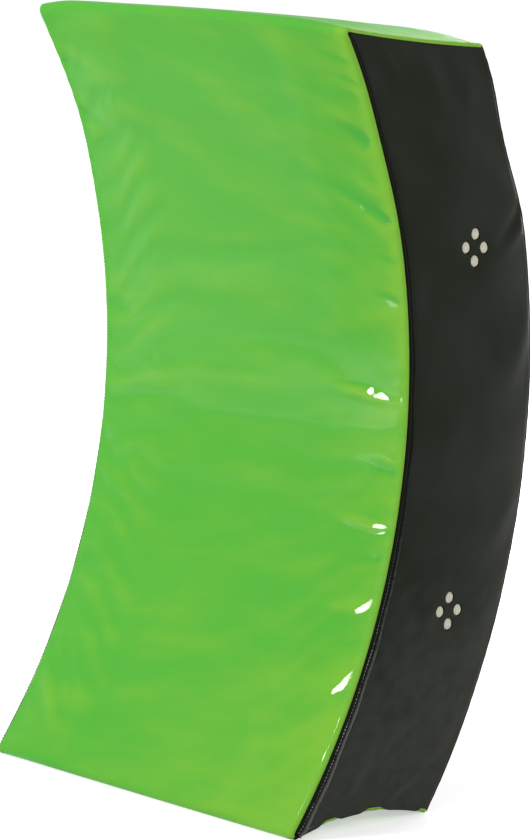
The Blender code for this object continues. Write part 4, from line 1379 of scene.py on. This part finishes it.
# The hem's section: shares of its width from the window, and millimetres above the back
HEM_SECTION = (
    (0.0, -1.15), (0.0, -0.3), (0.06, 0.45), (0.2, 0.78), (0.42, 0.82), (0.5, 0.62),
    (0.58, 0.82), (0.8, 0.75), (0.93, 0.45), (1.0, 0.02), (0.97, -1.15),
)


def window_hem_piece(sizes, colours):
    """The folded, stitched edge round the zip's window."""
    place = flat_frame(sizes, sizes.zip_rise, sizes.zip_flat)
    outline, outs = rounded(sizes.zip_half, sizes.zip_window / 2, sizes.zip_window / 4)
    far = distances(outline)
    wander = 0.00018 * np.sin(far / 0.0061) + 0.00025 * np.sin(far / 0.0273 + 1)
    drawn_in = 0.00007 * np.sin(far * 2 * math.pi / sizes.stitch)
    loops = []
    for share, lift in HEM_SECTION:
        spread = outline + outs * (share * sizes.hem + wander)[:, None]
        loops.append(raised(place, spread, lift * 0.001 + (drawn_in if 0.3 < share < 0.7 else 0)))
    made = loft("window_hem", loops, closed=True)
    dress(made, cover_vinyl(colours, "window_hem_vinyl"), "black_vinyl")
    half = 0.5 * sizes.hem
    around = (sizes.zip_half + half, sizes.zip_window / 2 + half, sizes.zip_window / 4 + half)
    line = closed_line(rounded(*around)[0])
    thread = sewn_on("window_hem_stitches", place, line, 0.00072, sizes)
    dress(thread, thread_finish(colours, "window_hem_thread"), "black_vinyl")


# Foam


def foam_block(sizes, name, start, end, node, slot, finish):
    """One layer of foam, from start to end metres behind the strike face, or from the back where
    that is below zero. Its skin lies under the cover's creases."""
    front, back = sides_of(sizes)
    inset = sizes.foam_inset
    shares = np.linspace(-1, 1, 30)
    (first, first_normals), (last, last_normals) = front.rows(shares, 2), back.rows(shares, 2)
    level = np.pad(shares, 2, mode="edge")
    half = sizes.width / 2 - inset
    x = np.linspace(-1, 1, 13)
    loops = []
    for n in range(len(level)):
        a, b = first[n] - first_normals[n] * inset, last[n] - last_normals[n] * inset
        span = np.linalg.norm(b - a)
        near, far = (
            reach - inset if reach >= 0 else span + reach + inset for reach in (start, end)
        )
        near, far = max(near, 0.0), min(far, span) if end else span
        loop = []
        for part in (0, 0.5, 1):
            share = (near + (far - near) * part) / span
            line = a + (b - a) * share
            swell = 0.55 * sizes.side_crown * bulge(2 * share - 1) * bulge(level[n])
            loop.append((x * (half + swell), line, share))
        ring = [(xx, *loop[0][1]) for xx in loop[0][0]] + [(loop[1][0][-1], *loop[1][1])]
        ring += [(xx, *loop[2][1]) for xx in loop[2][0][::-1]] + [(loop[1][0][0], *loop[1][1])]
        ring = np.array(ring)
        parts = np.array([loop[0][2]] * 13 + [loop[1][2]] + [loop[2][2]] * 13 + [loop[1][2]])
        ring[:, 2] += drawn(sizes, ring[:, 0], parts, ring[:, 2])
        loops.append(ring)
    made = loft(name, loops)
    dress(made, finish, slot, node)


# Seams


WELT_ROWS, WELT_POINTS = 1150, 15  # points along the bead, and over its round part


def welt_piece(sizes, colours, side, name, node):
    """The rolled bead along one side seam of the strike face, fuller towards the floor, drawn in at
    each stitch behind it."""
    front, _ = sides_of(sizes)
    share = np.linspace(-1, 1, WELT_ROWS)
    line, normals = front.arc(share)
    far = distances(line)
    half = sizes.width / 2 - waist(sizes, line[:, 1])

    def uneven(seed, size):
        return ripples(seed + side, far, 0 * far, size=size, tilt=2 * math.pi)

    def beside(depth, out):
        """Points of a line along the seam, depth metres behind the face and out to the side."""
        yz = line - normals * depth[:, None]
        return np.concatenate([(side * (half + out))[:, None], yz], 1)

    full = 1.02 - 0.50 * smooth(-0.55, 0.80, share) + 0.05 * uneven(61, size=0.05)
    full = full + 0.12 * (1 - smooth(-0.99, -0.70, share))
    full = full * (0.72 + 0.28 * np.minimum(smooth(0, 0.010, far), smooth(0, 0.010, far[-1] - far)))
    lean = 0.0006 * uneven(63, size=0.07)
    pinch = 0.5 - 0.5 * np.cos(far * 2 * math.pi / sizes.stitch)
    pucker = 0.00022 * uneven(65, size=0.007)
    loops = []
    for turn in np.linspace(0, math.pi, WELT_POINTS):
        out = np.sin(turn) ** 0.8 * full * sizes.welt_height
        out = out - hump(turn, width=0.42, middle=2.35) * (0.00042 * pinch * full - pucker) + 0.0001
        depth = sizes.roll + sizes.welt_width / 2 * (1 - np.cos(turn)) * full
        loops.append(beside(depth + sizes.gap + lean * math.sin(turn), out))
    for part in (0.75, 0.5, 0.25):
        loops.append(beside(sizes.roll + sizes.welt_width * part * full + sizes.gap, 0.0001))
    loops = np.array(loops).swapaxes(0, 1)
    around = np.arange(loops.shape[1])
    # Painted sheen: the bead's crest paler towards the floor
    rub = np.outer(0.12 + 0.95 * (1 - smooth(0.05, 0.35, far)), hump(around, width=2.5, middle=7))
    attributes = {"cut": cut_of(*np.meshgrid(around * 0.0009, far)), "rub": rub}
    made = loft(name, loops, attributes=attributes)
    dress(made, bead_vinyl(colours, name + "_vinyl"), "black_vinyl", node)

    width = full * sizes.welt_width
    # Each row: name, how far behind the seam, how far out, tilt of the stitches, and share of
    # painted glints near the floor
    rows = (
        ("_front", width * 0.12, full * 0.70 * sizes.welt_height, 0.7, 0.9),
        ("", width * 0.93 + 0.0004, 0.0009, -0.8, 1.1),
    )
    for row, behind, out, tilt, glint in rows:
        seam = beside(sizes.roll + sizes.gap + behind, out)
        outward = np.concatenate([np.full((len(line), 1), side * 1.0), normals * tilt], 1)
        thread = stitches(f"{name}{row}_stitches", seam, outward, sizes)
        dress(thread, thread_finish(colours, f"{name}{row}_thread", glint), "black_vinyl")


def back_seam_pieces(sizes, colours):
    """Top stitching along the back cover's edges."""
    points, u, v, _ = back_surface(sizes)
    both = np.concatenate([points, -surface_normals(points)], -1)
    reach = u[0, -1] - BACK_SEAM_INSET
    for side, inset in (("left", -reach), ("right", reach)):
        column = float(np.interp(inset, u[0], np.arange(u.shape[1])))
        line = cubic(both.swapaxes(0, 1), np.array([column]))[0]
        line = line[(v[:, 0] > BACK_SEAM_ENDS) & (v[:, 0] < v[-1, 0] - BACK_SEAM_ENDS)]
        name = f"back_seam_{side}_stitches"
        thread = stitches(name, line[:, :3], line[:, 3:], sizes)
        dress(thread, thread_finish(colours, name + "_thread"), "black_vinyl")


# Grips


# The webbing's upper half in section: shares of its half width and of its half thickness
WEBBING_SECTION = (
    (-1, 0.35), (-0.985, 0.8), (-0.93, 1.0), (-0.85, 0.86), (-0.5, 0.84), (0, 0.84),
    (0.5, 0.84), (0.85, 0.86), (0.93, 1.0), (0.985, 0.8), (1, 0.35),
)

PATCH_STITCHED = 0.0042  # from a patch's edge to its stitches
SEWN_STEP = 0.0016  # between the points of a sewn line

# Points round a sleeve, rows along it, and points along its stitched seam
SLEEVE_POINTS, SLEEVE_ROWS, SLEEVE_STITCH_ROWS = 72, 90, 60


def name_of(side):
    return "left" if side < 0 else "right"


def webbing_route(sizes):
    """(y, z) points along the webbing's middle: sewn flat, out to the grip, and sewn flat again."""
    _, back = sides_of(sizes)
    rise = sizes.patch + 2 * sizes.gap + sizes.webbing / 2
    place = flat_frame(sizes, back.length / 2 - sizes.grip_span / 2, sizes.patch_length)
    sewn = [np.array(place @ Vector((0, y, rise)))[1:] for y in (sizes.sewn / 2, -sizes.sewn / 2)]
    heading = -np.array(place.col[1])[1:3]
    grip = np.array((
        back.y_at(sizes.height / 2) + sizes.hand_space + sizes.sleeve_thickness / 2,
        sizes.height / 2 - sizes.grip_straight / 2,
    ))
    pull = 1.25 * np.linalg.norm(grip - sewn[1])
    t = np.linspace(0, 1, 26)[:, None]
    rising = (2 * t**3 - 3 * t**2 + 1) * sewn[1] + (t**3 - 2 * t**2 + t) * pull * heading
    rising = rising + (3 * t**2 - 2 * t**3) * grip + (t**3 - t**2) * pull * np.array((0, 1))
    lower = np.concatenate([np.linspace(sewn[0], sewn[1], 12)[:-1], rising])
    middle = np.linspace(grip, grip * (1, -1) + (0, sizes.height), 24)[1:-1]
    return np.concatenate([lower, middle, lower[::-1] * (1, -1) + (0, sizes.height)])


def webbing_piece(sizes, side, finish):
    route = webbing_route(sizes)
    ahead = np.gradient(route, axis=0)
    ahead /= np.linalg.norm(ahead, axis=1, keepdims=True)
    out = np.stack([ahead[:, 1], -ahead[:, 0]], 1)
    far = distances(route)
    half, thick = sizes.webbing_width / 2, sizes.webbing / 2
    top = [(a * half, b * thick) for a, b in WEBBING_SECTION]
    section = top + [(a, -b) for a, b in top[::-1]]
    loops = []
    for n in range(len(route)):
        loops.append([(side * sizes.grip_offset + a, *(route[n] + out[n] * b)) for a, b in section])
    cut = cut_of(*np.meshgrid([a for a, _ in section], far))
    name = name_of(side)
    made = loft(f"grip_{name}_webbing", loops, attributes={"cut": cut})
    dress(made, finish, "black_webbing", f"grip_webbing_{name}")


def patch_pieces(sizes, side, level, vinyl, thread):
    """The vinyl patch under one sewn end, and the stitches that hold both."""
    _, back = sides_of(sizes)
    name = f"grip_{name_of(side)}_{'lower' if level < 0 else 'upper'}"
    middle = back.length / 2 + level * sizes.grip_span / 2
    place = flat_frame(sizes, middle, sizes.patch_length, side * sizes.grip_offset)
    half = (sizes.patch_width / 2, sizes.patch_length / 2)
    top = sizes.gap + sizes.patch
    loops, cuts, rubs = [], [], []
    for inset, z in (
        (0, sizes.gap), (0, top - 0.0005), (0.0003, top - 0.0001), (0.0012, top + 0.0002),
        (0.003, top), (PATCH_STITCHED, top - 0.0003), (0.0054, top), (0.008, top + 0.0001),
        (0.014, top), (0.022, top), (0.0265, top),
    ):
        outline, _ = rounded(*half, sizes.patch_corner)
        outline = outline * [(h - inset) / h for h in half]
        loops.append(raised(place, outline, z))
        cuts.append(cut_of(*outline.T))
        rubs.append(np.full(len(outline), 0.8 if 0 < inset < 0.002 else 0.1))
    made = loft(name + "_patch", loops, attributes={"cut": np.array(cuts), "rub": np.array(rubs)})
    dress(made, vinyl, "black_vinyl", f"grip_patch_{name[5:]}")

    def sew(label, corners, z):
        line = []
        for a, b in zip(corners, corners[1:]):
            steps = max(2, int(np.linalg.norm(np.subtract(b, a)) / SEWN_STEP))
            line.append(np.linspace(a, b, steps)[:-1])
        line = np.concatenate(line + [np.array([corners[-1]])])
        dress(sewn_on(f"{name}_{label}", place, line, z, sizes), thread, "black_webbing")

    inner = [h - PATCH_STITCHED for h in half]
    outline, _ = rounded(*inner, sizes.patch_corner - PATCH_STITCHED / 2)
    sew("patch_stitches", closed_line(outline), top - 0.0003)
    w, h = sizes.webbing_width / 2 - 0.004, sizes.sewn / 2 - 0.006
    surface = top + sizes.gap + sizes.webbing * 0.94
    sew("box_stitches", [(-w, -h), (w, -h), (w, h), (-w, h), (-w, -h), (w, h)], surface)
    sew("cross_stitches", [(-w, h), (w, -h)], surface)


def sleeve_piece(sizes, side, vinyl, thread):
    """The padded sleeve round the webbing, with its seam at the back and drawn-in ends."""
    _, back = sides_of(sizes)
    name = name_of(side)
    z = sizes.height / 2
    y = back.y_at(z) + sizes.hand_space + sizes.sleeve_thickness / 2
    centre = (side * sizes.grip_offset, y)
    turns = turns_of(SLEEVE_POINTS)
    c, s = np.cos(turns), np.sin(turns)
    square = np.stack([c, s], 1) / np.maximum(np.abs(c), np.abs(s))[:, None]
    oval = square / (np.abs(square) ** 3).sum(1, keepdims=True) ** (1 / 3)
    half = np.array((sizes.sleeve_width, sizes.sleeve_thickness)) / 2
    seam = sum(hump(turns - lap, width=0.055, middle=0.08) for lap in (0, 2 * math.pi))
    reach = sizes.sleeve_length / 2

    def ring_at(outline, height):
        return np.column_stack([outline + centre, np.full(len(turns), z + height)])

    def cut_at(far):
        return cut_of(turns * 0.018, 0 * turns + far)

    loops, cuts, rubs = [], [], []
    for share in np.linspace(-1, 1, SLEEVE_ROWS):
        near, far = 1 - abs(share), share * reach
        size = 0.80 + 0.20 * smooth(0, 0.10, near) + 0.015 * math.cos(share * 5)
        folds = 0.0009 * ripples(71 + side, turns * 0.02, 0 * turns + far, size=0.02, tilt=2.2)
        folds = folds * (0.35 + 0.65 * math.exp(-near / 0.12))
        outline = oval * half * size * (1 + folds / 0.012)[:, None]
        outline = outline * (1 + np.outer(seam, (0.045, 0.0)))
        loops.append(ring_at(outline, far))
        cuts.append(cut_at(far))
        rubs.append(0.25 + 0.5 * np.abs(c) ** 6 + 0.3 * math.exp(-near / 0.05) + 0 * turns)
    flat = square / (np.abs(square) ** 40).sum(1, keepdims=True) ** (1 / 40)
    bore = flat * (np.array((sizes.webbing_width, sizes.webbing)) / 2 + 0.0006)
    for end in (1, -1):
        rim = loops[-1 if end > 0 else 0][:, :2] - centre
        lips = [
            ring_at(rim * share + bore * (1 - share), end * (reach + lift))
            for share, lift in ((0.86, 0.0016), (0.62, 0.0), (0.0, -0.004))
        ]
        extra, worn = [cut_at(end * reach)] * 3, [0.3 + 0 * turns] * 3
        if end > 0:
            loops, cuts, rubs = loops + lips, cuts + extra, rubs + worn
        else:
            loops, cuts, rubs = lips[::-1] + loops, extra + cuts, worn + rubs
    attributes = {"cut": np.array(cuts), "rub": np.array(rubs)}
    made = loft(f"grip_{name}_sleeve", loops, closed=True, attributes=attributes)
    dress(made, vinyl, "black_vinyl", f"grip_sleeve_{name}")
    far = np.linspace(-0.92, 0.92, SLEEVE_STITCH_ROWS) * reach
    corner = centre + half * (0.80, 0.86)
    line = np.column_stack([np.tile(corner, (SLEEVE_STITCH_ROWS, 1)), z + far])
    outward = np.tile((0.35, 0.94, 0.0), (SLEEVE_STITCH_ROWS, 1))
    dress(stitches(f"grip_{name}_sleeve_stitches", line, outward, sizes), thread, "black_vinyl")


# Zip


RING_EDGE, ZIP_EDGE = 0.00018, 0.00025  # width of the broken edges of the ring, and of the rest


def zip_finishes(colours):
    """Gives the zip's own pieces their finishes, and breaks their edges."""
    tape, nylon, metal = tape_finish(colours), nylon_finish(colours), metal_finish(colours)
    for name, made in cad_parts.items():
        if not name.startswith("zip_"):
            continue
        finish = tape if "tape" in name else nylon if "chain" in name else metal
        made.data.materials.clear()
        made.data.materials.append(finish.material)
        if finish is not tape:
            edge = made.modifiers.new("broken_edges", "BEVEL")
            edge.width = RING_EDGE if name == "zip_ring" else ZIP_EDGE
            edge.segments = 2
            edge.limit_method = "ANGLE"
            edge.angle_limit = math.radians(40)


# Stage


# The camera, from a fit to the photograph: the way to it from the wedge and its roll in radians,
# what it aims at and how far away it stands, its focal length and the picture's height in pixels
AZIMUTH, ELEVATION, ROLL = 0.74999, 0.12603, 0.06479
AIM, DISTANCE = (-0.00980, 0.05826, 0.33378), 3.0525
FOCAL_PIXELS, PICTURE_PIXELS = 3300, 840

# Each lamp's name, the way to it in degrees from what it aims at (0 is in front of the strike
# face), its distance, size and power, and what it aims at
LAMPS = (
    ("overhead_softbox", 10, 72, 2.8, (1.8, 1.8), 12, (0, 0, 0.35)),
    ("left_softbox", -85, 12, 3.0, (1.2, 1.8), 6, (0, 0, 0.35)),
    ("right_softbox", 84, 30, 3.0, (1.0, 1.4), 24, (0, 0, 0.35)),
    ("back_softbox", 198, 15, 3.2, (1.8, 1.8), 76, (0, 0, 0.35)),
    ("front_strip", -22, 0, 2.6, (0.22, 3.2), 56, (0, 0, 1.7)),
)


SKY_LIGHT = 0.26  # the white world's strength as a light; seen directly or in a gloss it is 1


def way(azimuth, elevation):
    """The direction to a place round the wedge; azimuth 0 is in front of the strike face."""
    level = math.cos(elevation)
    return Vector((math.sin(azimuth) * level, -math.cos(azimuth) * level, math.sin(elevation)))


def stage_camera(scene):
    camera = bpy.data.objects.new("camera", bpy.data.cameras.new("camera"))
    scene.collection.objects.link(camera)
    back = way(AZIMUTH, ELEVATION)
    right = (-back).cross(Vector((0, 0, 1))).normalized()
    up = right.cross(-back)
    turned = math.cos(ROLL) * right + math.sin(ROLL) * up
    upright = -math.sin(ROLL) * right + math.cos(ROLL) * up
    place = Matrix.Identity(4)
    for n, axis in enumerate((turned, upright, back)):
        place.col[n] = (*axis, 0)
    place.col[3] = (*(Vector(AIM) + DISTANCE * back), 1)
    camera.matrix_world = place
    camera.data.sensor_width = 36
    camera.data.lens = FOCAL_PIXELS * camera.data.sensor_width / PICTURE_PIXELS
    camera.data.clip_start = 0.05
    camera.data.clip_end = 60
    scene.camera = camera


def stage_floor(colours):
    corners = [(-40, -40, 0), (40, -40, 0), (40, 40, 0), (-40, 40, 0)]
    floor = object_from("floor", corners, [(0, 1, 2, 3)])
    finish = Finish("floor", roughness=0.9, specular_ior_level=0.0, emission_strength=1.0)
    finish.feed("Base Color", colours.floor)
    x, y, _ = finish.parts(finish.place())
    far = (x * x + y * y).between(0.2, 3.0)
    pale = finish.mix(far, (0.5, 0.5, 0.5), WHITE)
    finish.feed("Emission Color", finish.mix(finish.seen(), (0, 0, 0), pale))
    floor.data.materials.append(finish.material)


def stage_lamps(scene):
    for name, azimuth, elevation, distance, size, power, aim in LAMPS:
        data = bpy.data.lights.new(name, "AREA")
        data.shape = "RECTANGLE"
        data.size, data.size_y = size
        data.energy = power
        made = bpy.data.objects.new(name, data)
        scene.collection.objects.link(made)
        out = way(math.radians(azimuth), math.radians(elevation))
        made.location = Vector(aim) + distance * out
        made.rotation_euler = out.to_track_quat("Z", "Y").to_euler()


def stage(colours):
    scene = bpy.context.scene
    stage_camera(scene)
    stage_floor(colours)
    stage_lamps(scene)
    world = bpy.data.worlds.new("studio")
    world.use_nodes = True
    scene.world = world
    sky = Nodes(world.node_tree, "Background")
    sky.feed("Color", WHITE)
    sky.feed("Strength", sky.seen() * (1 - SKY_LIGHT) + SKY_LIGHT)
    scene.view_settings.view_transform = "Standard"


# Panel


class Builder:
    """What the operators share: each builds some pieces from the scene's sizes and colours."""

    def execute(self, context):
        self.build(context.scene.wedge_sizes, context.scene.wedge_colours)
        return {"FINISHED"}


class WEDGE_OT_strike_cover(Builder, bpy.types.Operator):
    """Build the green cover of the strike face and the ends"""

    bl_idname = "wedge.strike_cover"
    bl_label = "Strike cover"

    def build(self, sizes, colours):
        strike_cover_piece(sizes, colours)


class WEDGE_OT_sides(Builder, bpy.types.Operator):
    """Build the black side panels with their vents"""

    bl_idname = "wedge.sides"
    bl_label = "Sides"

    def build(self, sizes, colours):
        for side in (-1, 1):
            name = name_of(side)
            flank_pieces(sizes, colours, side, f"side_{name}", f"gusset_{name}")


class WEDGE_OT_back_cover(Builder, bpy.types.Operator):
    """Build the black back with the zip's stitched window"""

    bl_idname = "wedge.back_cover"
    bl_label = "Back cover"

    def build(self, sizes, colours):
        back_cover_piece(sizes, colours)
        window_hem_piece(sizes, colours)
        back_seam_pieces(sizes, colours)


class WEDGE_OT_welts(Builder, bpy.types.Operator):
    """Build the rolled beads along the strike face's side seams"""

    bl_idname = "wedge.welts"
    bl_label = "Welts"

    def build(self, sizes, colours):
        for side in (-1, 1):
            name = name_of(side)
            welt_piece(sizes, colours, side, f"seam_welt_{name}", f"welt_{name}")


class WEDGE_OT_foam(Builder, bpy.types.Operator):
    """Build the three layers of foam"""

    bl_idname = "wedge.foam"
    bl_label = "Foam"

    def build(self, sizes, colours):
        face, back = sizes.strike_foam, -sizes.backing_foam
        for name, start, end, slot, tone in (
            ("strike_foam", 0.0, face, "strike_foam", colours.soft_foam),
            ("core_foam", face, back, "cream_foam", colours.foam),
            ("backing_foam", back, 0.0, "grey_foam", colours.firm_foam),
        ):
            finish = foam_finish(name + "_cells", tone)
            foam_block(sizes, name + "_block", start, end, name, slot, finish)


class WEDGE_OT_grips(Builder, bpy.types.Operator):
    """Build the two webbing grips with their padded sleeves and sewn patches"""

    bl_idname = "wedge.grips"
    bl_label = "Grips"

    def build(self, sizes, colours):
        webbing, thread = webbing_finish(colours), thread_finish(colours, "grip_thread")
        patch = cover_vinyl(colours, "grip_patch_vinyl")
        sleeve = cover_vinyl(colours, "grip_sleeve_vinyl")
        for side in (-1, 1):
            webbing_piece(sizes, side, webbing)
            sleeve_piece(sizes, side, sleeve, thread)
            for level in (-1, 1):
                patch_pieces(sizes, side, level, patch, thread)


class WEDGE_OT_zip(Builder, bpy.types.Operator):
    """Finish the zip's tapes, teeth and slider"""

    bl_idname = "wedge.zip"
    bl_label = "Zip"

    def build(self, _, colours):
        zip_finishes(colours)


class WEDGE_OT_stage(Builder, bpy.types.Operator):
    """Set the camera, lamps and floor"""

    bl_idname = "wedge.stage"
    bl_label = "Stage"

    def build(self, _, colours):
        stage(colours)


OPERATORS = (
    WEDGE_OT_strike_cover,
    WEDGE_OT_sides,
    WEDGE_OT_back_cover,
    WEDGE_OT_welts,
    WEDGE_OT_foam,
    WEDGE_OT_grips,
    WEDGE_OT_zip,
    WEDGE_OT_stage,
)


class WEDGE_PT_panel(bpy.types.Panel):
    """Lists the wedge's pieces"""

    bl_label = "Tackle Wedge"
    bl_idname = "WEDGE_PT_panel"
    bl_space_type = "VIEW_3D"
    bl_region_type = "UI"
    bl_category = "Wedge"

    def draw(self, context):
        for operator in OPERATORS:
            self.layout.operator(operator.bl_idname)
        for group in (context.scene.wedge_sizes, context.scene.wedge_colours):
            for name in group.bl_rna.properties.keys():
                if name not in ("rna_type", "name"):
                    self.layout.prop(group, name)


CLASSES = (WedgeSizes, WedgeColours, *OPERATORS, WEDGE_PT_panel)


def register():
    for item in CLASSES:
        bpy.utils.register_class(item)
    bpy.types.Scene.wedge_sizes = PointerProperty(type=WedgeSizes)
    bpy.types.Scene.wedge_colours = PointerProperty(type=WedgeColours)


def unregister():
    del bpy.types.Scene.wedge_sizes
    del bpy.types.Scene.wedge_colours
    for item in reversed(CLASSES):
        bpy.utils.unregister_class(item)


def main():
    register()
    bpy.ops.wedge.stage()
    bpy.ops.wedge.strike_cover()
    bpy.ops.wedge.sides()
    bpy.ops.wedge.back_cover()
    bpy.ops.wedge.welts()
    bpy.ops.wedge.foam()
    bpy.ops.wedge.grips()
    bpy.ops.wedge.zip()


if __name__ == "__main__":
    main()
